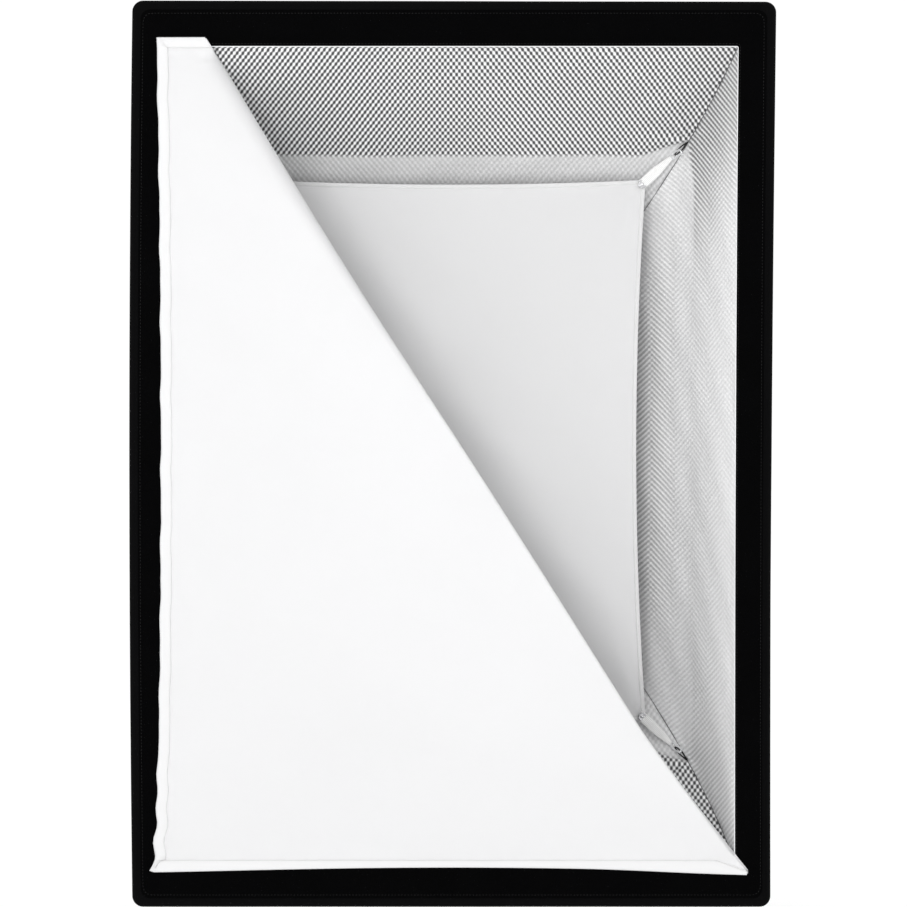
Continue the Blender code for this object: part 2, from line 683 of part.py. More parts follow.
def make_sockets(looks):
    """The blind tubes that hold the rods, each on a foot screwed to an ear of the speedring."""
    foot_rear = RING_FRONT - CLEARANCE
    foot_front = foot_rear - FOOT_THICKNESS
    length = SOCKET_GRIP + BLIND_FLOOR
    mouth, along = rod_start()
    bore_radius = ROD_RADIUS + BORE_GAP
    for corner, signs in CORNERS.items():
        azimuth = socket_azimuth(signs)
        direction = mirrored(along, signs)
        low = Vector((FOOT_INNER, foot_front, -FOOT_WIDTH / 2))
        high = Vector((FOOT_OUTER, foot_rear, FOOT_WIDTH / 2))
        foot = box("rod_socket_" + corner, low, high, looks["steel"])
        stand_at(foot, azimuth)
        low = Vector((FOOT_INNER + WEB_OVERLAP, mouth.y, -WEB_WIDTH / 2))
        high = Vector((WEB_OUTER, foot_front + WEB_OVERLAP, WEB_WIDTH / 2))
        web = box("socket_web_" + corner, low, high, looks["steel"])
        stand_at(web, azimuth)
        combine(foot, web, "UNION")
        profile = [(SOCKET_RADIUS, 0), (SOCKET_RADIUS, length)]
        tube = turned_solid("socket_tube_" + corner, profile, looks["steel"], sides=16)
        start = mirrored(mouth, signs) - direction * length
        aim(tube, start, direction)
        combine(foot, tube, "UNION")
        profile = [(bore_radius, BLIND_FLOOR), (bore_radius, 2 * length)]
        bore = turned_solid("socket_bore_" + corner, profile, looks["steel"], sides=16)
        aim(bore, start, direction)
        combine(foot, bore, "DIFFERENCE")
        span = (foot_rear + CUTTER_REACH, foot_front - CUTTER_REACH)
        name = "foot_hole_" + corner
        hole = upright(name, SCREW_RADIUS + CLEARANCE, span, looks["steel"], SCREW_CENTRE, azimuth)
        combine(foot, hole, "DIFFERENCE")
        make_socket_screw(corner, azimuth, foot_front, looks)


def make_socket_screw(corner, azimuth, foot_front, looks):
    """The screw that holds a socket's foot on its ear, with a domed head."""
    head_rear = foot_front - CLEARANCE
    profile = [
        (SCREW_RADIUS, head_rear + FOOT_THICKNESS + EAR_THICKNESS),
        (SCREW_RADIUS, head_rear),
        (SCREW_HEAD_RADIUS, head_rear),
        (SCREW_HEAD_RADIUS, head_rear - SCREW_HEAD_HEIGHT / 2),
        (SCREW_HEAD_RADIUS / 2, head_rear - SCREW_HEAD_HEIGHT),
    ]
    screw = turned_solid("socket_screw_" + corner, profile, looks["steel"], sides=12)
    screw.location = (SCREW_CENTRE * math.cos(azimuth), 0, SCREW_CENTRE * math.sin(azimuth))


def make_lock(looks):
    """The star knob on its screw, and the nylon pad that it presses on the hub."""
    pad_start = HUB_RADIUS + CLEARANCE
    pad_end = pad_start + LOCK_PAD_LENGTH
    up = Vector((0, 0, 1))
    profile = [(LOCK_SCREW_RADIUS, pad_start), (LOCK_SCREW_RADIUS, pad_end)]
    pad = turned_solid("lock_pad", profile, looks["nylon_pad"])
    aim(pad, Vector((0, LOCK_AXIS_Y, 0)), up)
    knob_end = KNOB_START + KNOB_LENGTH
    profile = [
        (LOCK_SCREW_RADIUS, pad_end + CLEARANCE, 0),
        (LOCK_SCREW_RADIUS, KNOB_START - KNOB_NECK_LENGTH, 0),
        (KNOB_NECK_RADIUS, KNOB_START - KNOB_NECK_LENGTH, 0),
        (KNOB_NECK_RADIUS, KNOB_START, 0),
        (KNOB_RADIUS - KNOB_EDGE, KNOB_START, KNOB_LOBE_DEPTH),
        (KNOB_RADIUS, KNOB_START + KNOB_EDGE, KNOB_LOBE_DEPTH),
        (KNOB_RADIUS, knob_end - KNOB_EDGE, KNOB_LOBE_DEPTH),
        (KNOB_RADIUS - KNOB_EDGE, knob_end, KNOB_LOBE_DEPTH),
    ]
    rings = []
    for radius, height, lobe in profile:
        ring = []
        for point in circle(1.0, height, KNOB_SIDES):
            angle = math.atan2(point.z, point.x)
            reach = radius * (1 + lobe * math.cos(KNOB_LOBES * angle))
            ring.append(Vector((point.x * reach, height, point.z * reach)))
        rings.append(ring)
    shape = bmesh.new()
    skin_rings(shape, rings)
    knob = finish("lock_knob", shape, looks["plastic"], smooth=True)
    aim(knob, Vector((0, LOCK_AXIS_Y, 0)), up)


def main():
    for found in list(bpy.data.objects):
        bpy.data.objects.remove(found)
    looks = make_looks()
    make_insert(looks)
    make_speedring(looks)
    make_retainer(looks)
    make_sockets(looks)
    make_lock(looks)
    make_rods(looks)
    make_panels(looks)
    make_collar(looks)
    make_lip(looks)
    make_baffle(looks)
    make_front_diffuser(looks)


main()
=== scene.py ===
import math

import bmesh
import bpy
import numpy as np
from mathutils import Matrix, Vector


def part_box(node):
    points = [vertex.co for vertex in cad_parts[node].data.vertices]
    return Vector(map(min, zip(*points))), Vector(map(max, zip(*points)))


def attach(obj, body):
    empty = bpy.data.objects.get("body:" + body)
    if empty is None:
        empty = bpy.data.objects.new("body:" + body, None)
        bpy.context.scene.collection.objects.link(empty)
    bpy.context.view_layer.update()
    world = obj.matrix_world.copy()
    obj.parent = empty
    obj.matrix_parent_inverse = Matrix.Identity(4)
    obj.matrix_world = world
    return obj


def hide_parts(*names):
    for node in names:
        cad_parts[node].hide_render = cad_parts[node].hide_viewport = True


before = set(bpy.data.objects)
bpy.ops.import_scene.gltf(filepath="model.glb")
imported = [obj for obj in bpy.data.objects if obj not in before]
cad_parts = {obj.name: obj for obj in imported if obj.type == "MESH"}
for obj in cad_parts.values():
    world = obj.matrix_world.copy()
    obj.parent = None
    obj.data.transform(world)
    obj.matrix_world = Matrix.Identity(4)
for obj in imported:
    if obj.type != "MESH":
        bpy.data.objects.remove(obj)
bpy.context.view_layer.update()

# ---- sizes taken from the frame ---------------------------------------------------------------
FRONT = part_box("lip_top")[0].y                  # y of the lip's front face
HALF_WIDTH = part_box("lip_right")[1].x
HALF_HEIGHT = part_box("lip_top")[1].z
OPEN_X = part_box("lip_right")[0].x               # half size of the opening inside the lip
OPEN_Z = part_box("lip_top")[0].z
LIP_SIDE = HALF_WIDTH - OPEN_X                  # width of the lip at the sides
LIP_END = HALF_HEIGHT - OPEN_Z                  # and at the top and bottom
LIP_BAND = 0.0095                               # bare lip outside the loop tape
LIP_ROLL = 0.0065                               # radius of its rolled outer edge
LIP_FLAT_SHARE = 0.84                           # the share of its width that is flat
BAFFLE_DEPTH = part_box("inner_baffle")[0].y - FRONT
BAFFLE_HALF = (0.2245, 0.3120)                  # half sizes between its pulled-out corners
SHEET_HALF = (-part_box("front_diffuser")[0].x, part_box("front_diffuser")[1].z)
KNOB_AXIS_Y = (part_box("lock_knob")[0].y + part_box("lock_knob")[1].y) / 2
COLLAR_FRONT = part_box("rear_collar")[0].y - FRONT
COLLAR_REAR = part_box("rear_collar")[1].y - FRONT
COLLAR_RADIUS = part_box("rear_collar")[1].x

# ---- corner lines, as in the CAD model: (x, z, depth) of both ends, and the bow in x and z ----------
LINING_LINE = {"rear": (0.060, 0.062, 0.385), "front": (0.3155, 0.4517, 0.002), "bow": (0.039, 0.024)}
SHELL_LINE = {"rear": (0.100, 0.100, 0.408), "front": (0.3540, 0.4990, 0.003), "bow": (0.018, 0.002)}
SHELL_START = 0.962            # the outer shell begins at this share of its line, inside the lip's tuck
CORNERS = {"top_right": (1, 1), "top_left": (-1, 1), "bottom_left": (-1, -1), "bottom_right": (1, -1)}
# Each panel's across and outward directions in (x, z); across runs clockwise seen from the front.
SIDES = {
    "top": ((1, 0), (0, 1)),
    "right": ((0, -1), (1, 0)),
    "bottom": ((-1, 0), (0, -1)),
    "left": ((0, 1), (-1, 0)),
}

# ---- thread ---------------------------------------------------------------------------------------
STITCH_PITCH = 0.0036
STITCH_LENGTH = 0.0025
STITCH_WIDTH = 0.0006
STITCH_HEIGHT = 0.00035

# ---- fabric of the lining -----------------------------------------------------------------------
DIMPLE_PITCH = 0.0063          # between dimples in one row
DIMPLE_PERIOD = 0.0109         # from one row to the next but one, which lies in line with it
DIMPLE_HEIGHT = 0.00020
SEAM_INSET = 0.0004            # between a panel's edge and the corner line
HERRINGBONE = 0.078            # on the side panels the painted shade in the dimples leans to and fro over this depth
ANCHOR_DEPTH = 0.117           # where the baffle's cords are sewn into the lining's corner seams

# ---- front diffuser -----------------------------------------------------------------------------
FOLD_TOP_X = -0.2716           # where the fold meets the top hem
FOLD_END_X = 0.3300            # and the bottom hem
FOLD_BOW = 0.0177              # how far it sags to the left of a straight line between them
FOLD_BOW_AT = 0.83             # the share of the fold, from the top, where it sags most
FOLD_SLACK = 0.0050            # and how much more it gives way in its upper part, about FOLD_SLACK_AT
FOLD_SLACK_AT = 0.29
FOLD_ROWS = 120
SHEET_COLUMNS = 60
ROLL_COLUMNS = 8               # of them, those that roll over the fold
FLAP_COLUMNS = 34
SHEET_DEPTH = -0.0021          # the sheet lies on the loop tape


# ---- small tools --------------------------------------------------------------------------------
def at(x, z, depth):
    """A point given by its depth behind the lip's front."""
    return Vector((x, FRONT + depth, z))


def smoothstep(low, high, value):
    """0 below low, 1 above high, and a smooth rise between them."""
    share = np.clip((value - low) / (high - low), 0, 1)
    return share * share * (3 - 2 * share)


def corner_line(line, t):
    """x, z and depth along a bowed corner line; t is 0 at its rear end and 1 at its front."""
    rear, front, bow = line["rear"], line["front"], line["bow"]
    arch = 4 * t * (1 - t)
    x = rear[0] + (front[0] - rear[0]) * t + bow[0] * arch
    z = rear[1] + (front[1] - rear[1]) * t + bow[1] * arch
    return x, z, rear[2] + (front[2] - rear[2]) * t


def line_at_depth(line, depth):
    """x and z of a corner line at a depth."""
    t = (depth - line["rear"][2]) / (line["front"][2] - line["rear"][2])
    x, z, _ = corner_line(line, t)
    return x, z


def rim_shift(x, z, depth):
    """The small lean and bulge of the sewn rim: how far a point of it lies to the side, in x."""
    fade = np.exp(-np.abs(depth) / 0.12)
    height = z / HALF_HEIGHT
    right = 0.0012 + 0.0022 * height - 0.0014 * (1 - height ** 2)
    left = 0.0030 - 0.0036 * (1 - height ** 2)
    return np.where(x > 0, right, left) * fade * smoothstep(0, 0.25, np.abs(x))


def leaned(x, z, depth, offset=0.0):
    """A point of the sewn rim with its lean, moved by an offset in depth."""
    return at(x + float(rim_shift(x, z, depth)), z, depth + offset)


def swell(x, z):
    """How far the stuffed outer edge of the rim stands out beyond its nominal rectangle."""
    right = max(0.0008 + 0.0018 * z / HALF_HEIGHT, 0.0002)
    sideways = right if x > 0 else -0.0012
    upward = 0.0021 - 0.0018 * x if z > 0 else -0.0022
    return sideways * min(abs(x) / HALF_WIDTH, 1) ** 6, upward * min(abs(z) / HALF_HEIGHT, 1) ** 6


def link(name, data):
    """An object in the scene that shows the given data."""
    made = bpy.data.objects.new(name, data)
    bpy.context.scene.collection.objects.link(made)
    return made


def new_object(name, points, faces, look, smooth=True):
    """An object from points and faces."""
    mesh = bpy.data.meshes.new(name)
    mesh.from_pydata([tuple(p) for p in points], [], faces)
    mesh.materials.append(look)
    if smooth:
        mesh.shade_smooth()
    return link(name, mesh)


def bmesh_object(name, shape, look=None):
    """An object made from a bmesh, with its faces turned outward."""
    bmesh.ops.recalc_face_normals(shape, faces=shape.faces)
    mesh = bpy.data.meshes.new(name)
    shape.to_mesh(mesh)
    shape.free()
    if look:
        mesh.materials.append(look)
    return link(name, mesh)


def grid_faces(rows, columns, closed_across=False, closed_along=False):
    """Quads between neighbours in rows of points; a closed grid joins its last to its first."""
    faces = []
    for i in range(rows if closed_along else rows - 1):
        for j in range(columns if closed_across else columns - 1):
            k, m = (i + 1) % rows, (j + 1) % columns
            faces.append((i * columns + j, i * columns + m, k * columns + m, k * columns + j))
    return faces


def grid_object(name, grid, look, closed_across=False, closed_along=False, capped=False):
    """A surface through rows of points, an array of rows x columns x 3; caps close its two end rows."""
    rows, columns = grid.shape[:2]
    faces = grid_faces(rows, columns, closed_across, closed_along)
    if capped:
        faces += [tuple(range(columns)), tuple(range((rows - 1) * columns, rows * columns))]
    made = new_object(name, grid.reshape(-1, 3), faces, look)
    shape = bmesh.new()
    shape.from_mesh(made.data)
    bmesh.ops.recalc_face_normals(shape, faces=shape.faces)
    shape.to_mesh(made.data)
    shape.free()
    return made


def give(made, name, values):
    """A vector for each point, which the materials read by its name."""
    attribute = made.data.attributes.new(name, "FLOAT_VECTOR", "POINT")
    attribute.data.foreach_set("vector", np.asarray(values, np.float32).ravel())


def give_cloth_map(made, u, v):
    """The place of each point on the flat cloth, in metres."""
    give(made, "cloth", np.stack([u, v, np.zeros_like(u)], axis=-1).reshape(-1, 3))


def row_lengths(line):
    """How far along a line of points each point lies."""
    return np.concatenate([[0], np.cumsum(np.linalg.norm(np.diff(line, axis=0), axis=1))])


def rows_by_columns(row_values, column_values):
    """Two arrays of rows x columns, with a value for each row and a value for each column."""
    return np.meshgrid(row_values, column_values, indexing="ij")


def thicken(made, thickness, offset=0.0):
    solidify = made.modifiers.new("thickness", "SOLIDIFY")
    solidify.thickness = thickness
    solidify.offset = offset


def bevel(made, width):
    modifier = made.modifiers.new("soft_edges", "BEVEL")
    modifier.width = width
    modifier.segments = 2
    modifier.limit_method = "ANGLE"


def settle(made, slot, *replaced):
    """Every piece here rides on the softbox; some stand for CAD nodes."""
    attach(made, "softbox")
    if replaced:
        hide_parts(*replaced)
    return made


def tangent(points, i, closed=False):
    """The direction of a line at its point i."""
    if closed:
        return (points[(i + 1) % len(points)] - points[i - 1]).normalized()
    return (points[min(i + 1, len(points) - 1)] - points[max(i - 1, 0)]).normalized()


def band_axes(along):
    """Across and forward directions of a flat band that runs in a direction."""
    across = along.cross(Vector((0, 1, 0))).normalized()
    normal = across.cross(along).normalized()
    return across, (-normal if normal.y > 0 else normal)


def tube(name, points, radius, look, sides=8, closed=False):
    """A round cord through points, with a radius that may change along it."""
    count = len(points)
    radii = radius if hasattr(radius, "__len__") else [radius] * count
    grid = np.zeros((count, sides, 3))
    side = None
    for i, point in enumerate(points):
        along = tangent(points, i, closed)
        if side is None:
            side = along.orthogonal().normalized()
        side = (side - along * side.dot(along)).normalized()
        up = along.cross(side)
        for k in range(sides):
            turn = 2 * math.pi * k / sides
            grid[i, k] = point + side * radii[i] * math.cos(turn) + up * radii[i] * math.sin(turn)
    return grid_object(name, grid, look, closed_across=True, closed_along=closed, capped=not closed)


def resample(points, step):
    """Points at even steps along a line of points."""
    line = np.array([tuple(p) for p in points])
    lengths = row_lengths(line)
    count = max(int(lengths[-1] / step), 1)
    wanted = np.linspace(0, lengths[-1], count + 1)
    return [Vector(np.array([np.interp(w, lengths, line[:, k]) for k in range(3)])) for w in wanted]


def stitches(name, rows, look, normal=(0, -1, 0)):
    """Rows of small raised thread stitches, each row along a line of points."""
    normal = Vector(normal)
    verts, faces = [], []
    for points in rows:
        line = resample(points, STITCH_PITCH)
        for start, end in zip(line, line[1:]):
            along = (end - start).normalized()
            across = along.cross(normal).normalized() * STITCH_WIDTH / 2
            middle = (start + end) / 2
            reach = along * STITCH_LENGTH / 2
            base = len(verts)
            verts += [middle - reach, middle + reach, middle - across, middle + across]
            verts.append(middle + normal * STITCH_HEIGHT)
            for a, b in ((0, 2), (2, 1), (1, 3), (3, 0)):
                faces.append((base + a, base + b, base + 4))
            faces.append((base, base + 3, base + 1, base + 2))
    return new_object(name, verts, faces, look, smooth=False)


# ---- material tools -----------------------------------------------------------------------------
class Look:
    """A material that is being wired up."""

    def __init__(self, name):
        self.material = bpy.data.materials.new(name)
        self.material.use_nodes = True
        self.tree = self.material.node_tree
        self.shader = self.tree.nodes["Principled BSDF"]

    def node(self, kind, inputs=None, **settings):
        made = self.tree.nodes.new(kind)
        for key, value in settings.items():
            setattr(made, key, value)
        for key, value in (inputs or {}).items():
            self.put(made.inputs[key], value)
        return made

    def put(self, socket, value):
        if isinstance(value, bpy.types.NodeSocket):
            self.tree.links.new(value, socket)
        else:
            socket.default_value = value

    def set(self, **inputs):
        for key, value in inputs.items():
            self.put(self.shader.inputs[key.replace("_", " ")], value)

    def math(self, operation, a, b=0.0, clamp=False):
        return self.node("ShaderNodeMath", {0: a, 1: b}, operation=operation, use_clamp=clamp).outputs[0]

    def named(self, name):
        """The three parts of a vector that the mesh carries."""
        source = self.node("ShaderNodeAttribute", attribute_name=name)
        return self.node("ShaderNodeSeparateXYZ", {0: source.outputs["Vector"]}).outputs

    def place(self):
        return self.node("ShaderNodeTexCoord").outputs["Object"]

    def noise(self, scale, detail=3.0, roughness=0.5):
        inputs = {"Scale": scale, "Detail": detail, "Roughness": roughness, "Vector": self.place()}
        return self.node("ShaderNodeTexNoise", inputs).outputs["Fac"]

    def span(self, value, low, high, from_low=0.0, from_high=1.0):
        inputs = {"Value": value, "From Min": from_low, "From Max": from_high, "To Min": low, "To Max": high}
        return self.node("ShaderNodeMapRange", inputs).outputs[0]

    def mix(self, share, first, second):
        made = self.node("ShaderNodeMix", data_type="RGBA")
        self.put(made.inputs[0], share)
        self.put(made.inputs[6], first)
        self.put(made.inputs[7], second)
        return made.outputs[2]

    def paint(self, color, value):
        """A colour that gets lighter and darker with a value about 1."""
        shade = self.node("ShaderNodeVectorMath", {0: color, "Scale": value}, operation="SCALE")
        self.set(Base_Color=shade.outputs[0])

    def bump(self, height, distance, strength=1.0, below=None):
        inputs = {"Height": height, "Distance": distance, "Strength": strength}
        if below is not None:
            inputs["Normal"] = below
        return self.node("ShaderNodeBump", inputs).outputs[0]

    def wave(self, value, period):
        """A cosine of a length in metres."""
        return self.math("COSINE", self.math("MULTIPLY", value, 2 * math.pi / period))

    def weave(self, u, v, period):
        """Threads over and under each other, from -1 to 1."""
        return self.math("MULTIPLY", self.wave(u, period), self.wave(v, period))


def grey(value):
    return (value, value, value, 1.0)


# ---- materials ------------------------------------------------------------------------------------
def silver_look():
    """Embossed silver cloth with painted light and shade. The mesh carries, as 'dimple', how strong the
    painted shade and reflection in its dimples' hollows is, which diagonal that painted shade follows, and
    the painted light of the cloth."""
    look = Look("silver_lining_fabric")
    u, v, _ = look.named("cloth")
    # 'dimple': painted shade for the hollows (named depth here), the diagonal it follows, and painted light
    depth, painted_streak, light = look.named("dimple")
    across = look.math("MULTIPLY", u, 2 * math.pi / DIMPLE_PITCH)
    along = look.math("MULTIPLY", v, 2 * math.pi / DIMPLE_PERIOD)
    falling = look.math("COSINE", look.math("ADD", across, along))
    rising = look.math("COSINE", look.math("SUBTRACT", across, along))
    share = look.span(painted_streak, 0.0, 1.0, -1.0, 1.0)
    first = look.math("MULTIPLY", falling, share)
    second = look.math("MULTIPLY", rising, look.math("SUBTRACT", 1.0, share))
    pattern = look.math("ADD", first, second)
    even = look.math("MULTIPLY", look.math("ADD", falling, rising), 0.5)
    pit = look.node("ShaderNodeMapRange", {"Value": pattern, "From Min": -0.80, "From Max": 0.65},
                    interpolation_type="SMOOTHSTEP").outputs[0]
    patchy = look.span(look.noise(9.0, 4.0), 0.93, 1.04)
    fine = look.span(look.noise(900.0, 2.0), 0.94, 1.05)
    # painted light from the mesh, times a random tone
    painted_light_and_tone = look.math("MULTIPLY", look.math("MULTIPLY", light, patchy), fine)
    painted_light_and_tone_color = look.node("ShaderNodeCombineXYZ", {0: painted_light_and_tone, 1: painted_light_and_tone, 2: look.math("MULTIPLY", painted_light_and_tone, 1.005)})
    # painted shade and reflection in the dimples' hollows
    dark = look.math("MULTIPLY", pit, depth, clamp=True)
    look.set(Base_Color=look.mix(dark, painted_light_and_tone_color.outputs[0], (0.02, 0.02, 0.022, 1)))
    look.set(Metallic=0.15, Roughness=look.span(look.noise(60.0), 0.36, 0.48))
    grain = look.bump(look.noise(2600.0, 2.0), 0.00012, 0.5)
    look.set(Normal=look.bump(even, -0.0003, 1.0, grain))
    return look.material


def woven_look(name, color, period, depth, roughness, specular=0.3, tint=0.12):
    """Plain woven cloth with a faint patchiness; the mesh carries its flat cloth map."""
    look = Look(name)
    u, v, _ = look.named("cloth")
    threads = look.weave(u, v, period)
    patchy = look.span(look.noise(14.0, 5.0), 1.0 - tint, 1.0 + tint)
    # painted shade: the weave is painted darker where its threads dip under, lighter where they rise
    lifted = look.span(threads, 0.94, 1.04, -1.0, 1.0)
    look.paint(color, look.math("MULTIPLY", patchy, lifted))
    look.set(Roughness=look.span(look.noise(40.0), roughness - 0.05, roughness + 0.05))
    look.set(Specular_IOR_Level=specular)
    slub = look.bump(look.noise(420.0, 3.0), 0.00015, 0.35)
    look.set(Normal=look.bump(threads, depth, 0.8, slub))
    return look.material


def white_look(name, white, tint):
    """Fine white cloth of a given lightness."""
    return woven_look(name, (white, white, white * 1.005), 0.0008, 0.00010, 0.85, tint=tint)


def diffusion_look(name, white, passed):
    """Thin white diffusion cloth: a share of the light that falls on it goes through."""
    material = white_look(name, white, 0.006)
    tree = material.node_tree
    through = tree.nodes.new("ShaderNodeBsdfTranslucent")
    through.inputs["Color"].default_value = (0.96, 0.96, 0.965, 1)
    both = tree.nodes.new("ShaderNodeMixShader")
    both.inputs[0].default_value = passed
    tree.links.new(tree.nodes["Principled BSDF"].outputs[0], both.inputs[1])
    tree.links.new(through.outputs[0], both.inputs[2])
    tree.links.new(both.outputs[0], tree.nodes["Material Output"].inputs["Surface"])
    return material


def nap_look():
    """The looped face of hook and loop tape."""
    look = Look("black_loop_tape")
    loops = look.node("ShaderNodeTexVoronoi", {"Vector": look.place(), "Scale": 900.0}).outputs["Distance"]
    fuzz = look.noise(260.0, 6.0, roughness=0.7)
    value = look.math("MULTIPLY", look.span(fuzz, 0.5, 1.7), look.span(look.noise(22.0), 0.7, 1.3))
    look.paint((0.0008, 0.0008, 0.0009), value)
    look.set(Roughness=look.span(fuzz, 0.9, 1.0), Specular_IOR_Level=0.02)
    look.set(Normal=look.bump(loops, 0.0006, 0.9, look.bump(fuzz, 0.0008, 0.6)))
    return look.material


def solid_look(name, color, roughness, metallic=0.0, grain=0.0002, scale=300.0, wear=0.06, **extra):
    """Metal or moulded plastic with fine grain, uneven polish and a faint mottling."""
    look = Look(name)
    mottled = look.noise(scale / 6, 5.0)
    worn = look.noise(18.0, 6.0, roughness=0.65)
    low, high = 1 - wear, 1 + wear
    look.paint(color, look.math("MULTIPLY", look.span(mottled, low, high), look.span(worn, low, high)))
    look.set(Metallic=metallic, Roughness=look.span(worn, roughness - 0.07, roughness + 0.09), **extra)
    look.set(Normal=look.bump(look.noise(scale, 3.0), grain, 0.6))
    return look.material


def turned_look(name, color, roughness, pitch=0.0007):
    """Metal with the fine rings that a lathe leaves round the optical axis."""
    look = Look(name)
    x, y, z = look.node("ShaderNodeSeparateXYZ", {0: look.place()}).outputs
    radius = look.math("SQRT", look.math("ADD", look.math("MULTIPLY", x, x), look.math("MULTIPLY", z, z)))
    rings = look.wave(look.math("ADD", radius, y), pitch)
    worn = look.noise(25.0, 6.0, roughness=0.65)
    look.paint(color, look.span(worn, 0.88, 1.08))
    look.set(Metallic=1.0, Roughness=look.span(worn, roughness - 0.06, roughness + 0.10))
    look.set(Normal=look.bump(rings, 0.00003, 0.5, look.bump(worn, 0.0002, 0.2)))
    return look.material


def ribbed_look(name, color, period, direction):
    """Elastic or braided cord: ribs along a direction in space."""
    look = Look(name)
    along = look.node("ShaderNodeVectorMath", {0: look.place(), 1: direction}, operation="DOT_PRODUCT")
    ribs = look.wave(along.outputs["Value"], period)
    # painted shade: darker in the hollows between the ribs
    painted_rib_shade = look.span(ribs, 0.90, 1.05, -1.0, 1.0)
    look.paint(color, look.math("MULTIPLY", painted_rib_shade, look.span(look.noise(70.0), 0.94, 1.04)))
    look.set(Roughness=look.span(look.noise(90.0), 0.70, 0.90))
    look.set(Normal=look.bump(ribs, 0.0003, 0.7), Specular_IOR_Level=0.3)
    return look.material


def make_looks():
    """Every material, by the short name that the makers below use."""
    return {
        "silver": silver_look(),
        "shell": woven_look("black_shell_fabric", (0.0090, 0.0090, 0.0098), 0.0011, 0.00018, 0.60,
                            specular=0.22, tint=0.2),
        "lip": woven_look("black_lip_fabric", (0.0014, 0.0014, 0.0016), 0.0011, 0.00018, 0.80,
                          specular=0.04, tint=0.25),
        "white": diffusion_look("white_diffusion_fabric", 0.825, 0.42),
        "hem": white_look("white_hem", 0.592, 0.008),
        "baffle": diffusion_look("white_baffle_fabric", 0.72, 0.30),
        "baffle_hem": white_look("white_baffle_hem", 0.60, 0.008),
        "nap": nap_look(),
        "silver_plain": solid_look("silver_hem", (0.70, 0.70, 0.71), 0.45, 0.4, scale=900.0),
        "shell_plain": solid_look("black_binding", (0.0075, 0.0075, 0.0082), 0.75, grain=0.0004,
                                  scale=1400.0, wear=0.15),
        "seam": solid_look("grey_seam_thread", (0.11, 0.11, 0.115), 0.7, grain=0.0004, scale=900.0),
        "black_thread": solid_look("black_thread", (0.0012, 0.0012, 0.0013), 0.8, grain=0.0002, scale=1500.0),
        "white_thread": solid_look("white_thread", (0.60, 0.60, 0.60), 0.7, grain=0.0002, scale=1500.0),
        "elastic": ribbed_look("white_elastic", (0.74, 0.74, 0.735), 0.0016, (0.72, 0.0, 0.69)),
        "cord": ribbed_look("black_shock_cord", (0.010, 0.010, 0.010), 0.0014, (0.6, 0.5, 0.6)),
        "clear": solid_look("frosted_plastic", (0.86, 0.87, 0.88), 0.22, grain=0.0001, scale=500.0,
                            Transmission_Weight=0.45, IOR=1.49),
        "snap": solid_look("dull_nickel", (0.40, 0.40, 0.41), 0.26, 1.0, grain=0.0001, scale=700.0),
        "steel": solid_look("nickel_steel", (0.60, 0.60, 0.61), 0.28, 1.0, grain=0.0001, scale=700.0),
        "rod": solid_look("spring_steel_rod", (0.40, 0.40, 0.42), 0.34, 1.0, grain=0.0001, scale=500.0),
        "alloy": turned_look("cast_alloy", (0.66, 0.67, 0.69), 0.36),
        "black_metal": solid_look("black_painted_metal", (0.022, 0.022, 0.024), 0.42, 0.4, grain=0.0003,
                                  scale=900.0, wear=0.15),
        "plastic": solid_look("black_plastic", (0.018, 0.018, 0.020), 0.48, grain=0.0003, scale=1200.0,
                              wear=0.12),
        "nylon_pad": solid_look("white_nylon", (0.82, 0.82, 0.79), 0.45, grain=0.0001, scale=600.0),
    }


# ---- lining ---------------------------------------------------------------------------------------
# The knee of a panel, where the cloth is drawn straight between two cord anchors: its depth in the
# middle of the panel, and how much shallower the cloth runs just behind it.
KNEES = {"top": (0.134, 0.26), "bottom": (0.134, 0.26), "right": (0.106, 0.12), "left": (0.106, 0.12)}


def panel_axes(name):
    """Which parts of a corner line are a panel's half width and its distance from the optical axis."""
    return (0, 1) if name in ("top", "bottom") else (1, 0)


def knee_depth(name, q):
    """The knee runs level across the panel and climbs to the anchors at its two ends."""
    middle = KNEES[name][0]
    return middle + (ANCHOR_DEPTH - middle) * smoothstep(0.80, 1.0, np.abs(q))


def lining_distance(name, q, depth):
    """How far from the optical axis a panel's cloth lies, at a share q of its half width."""
    _, out_part = panel_axes(name)
    seam = np.array(line_at_depth(LINING_LINE, depth)[out_part])
    knee = knee_depth(name, q)
    at_knee = line_at_depth(LINING_LINE, knee)[out_part]
    front_depth = LINING_LINE["front"][2]
    front = LINING_LINE["front"][out_part]
    chord = front + (at_knee - front) * (depth - front_depth) / (knee - front_depth)
    behind = seam + KNEES[name][1] * (depth - knee) * np.exp(-np.maximum(depth - knee, 0) / 0.05)
    middle = np.where(depth < knee, chord, behind)
    return seam + (middle - seam) * (1 - np.abs(q) ** 8)


TENSION_FOLD = 0.0024          # height of the folds that a cord pulls into the cloth
# For the top and bottom panels, then the side panels: how strong those folds are, and how far the cloth
# slants from the optical axis.
PANEL_PULL = ((1.0, math.radians(40)), (0.35, math.radians(24)))


def tension_folds(du, dv):
    """Small folds that spread out from the point where a cord pulls the seam."""
    reach = np.hypot(du, dv)
    angle = np.arctan2(dv, np.abs(du) + 1e-6)
    return TENSION_FOLD * np.exp(-reach / 0.038) * (1 - np.exp(-reach / 0.006)) * np.cos(6 * angle)


def slow_waves(u, v, seed):
    """Uneven stretch of a sewn panel, under 1 either way."""
    a = np.sin(2 * math.pi * (u / 0.31 + v / 0.23) + seed)
    b = np.sin(2 * math.pi * (u / 0.17 - v / 0.29) + 2.1 * seed)
    c = np.sin(2 * math.pi * (u / 0.097 + v / 0.061) + 3.3 * seed)
    return (a + b + 0.6 * c) / 2.6


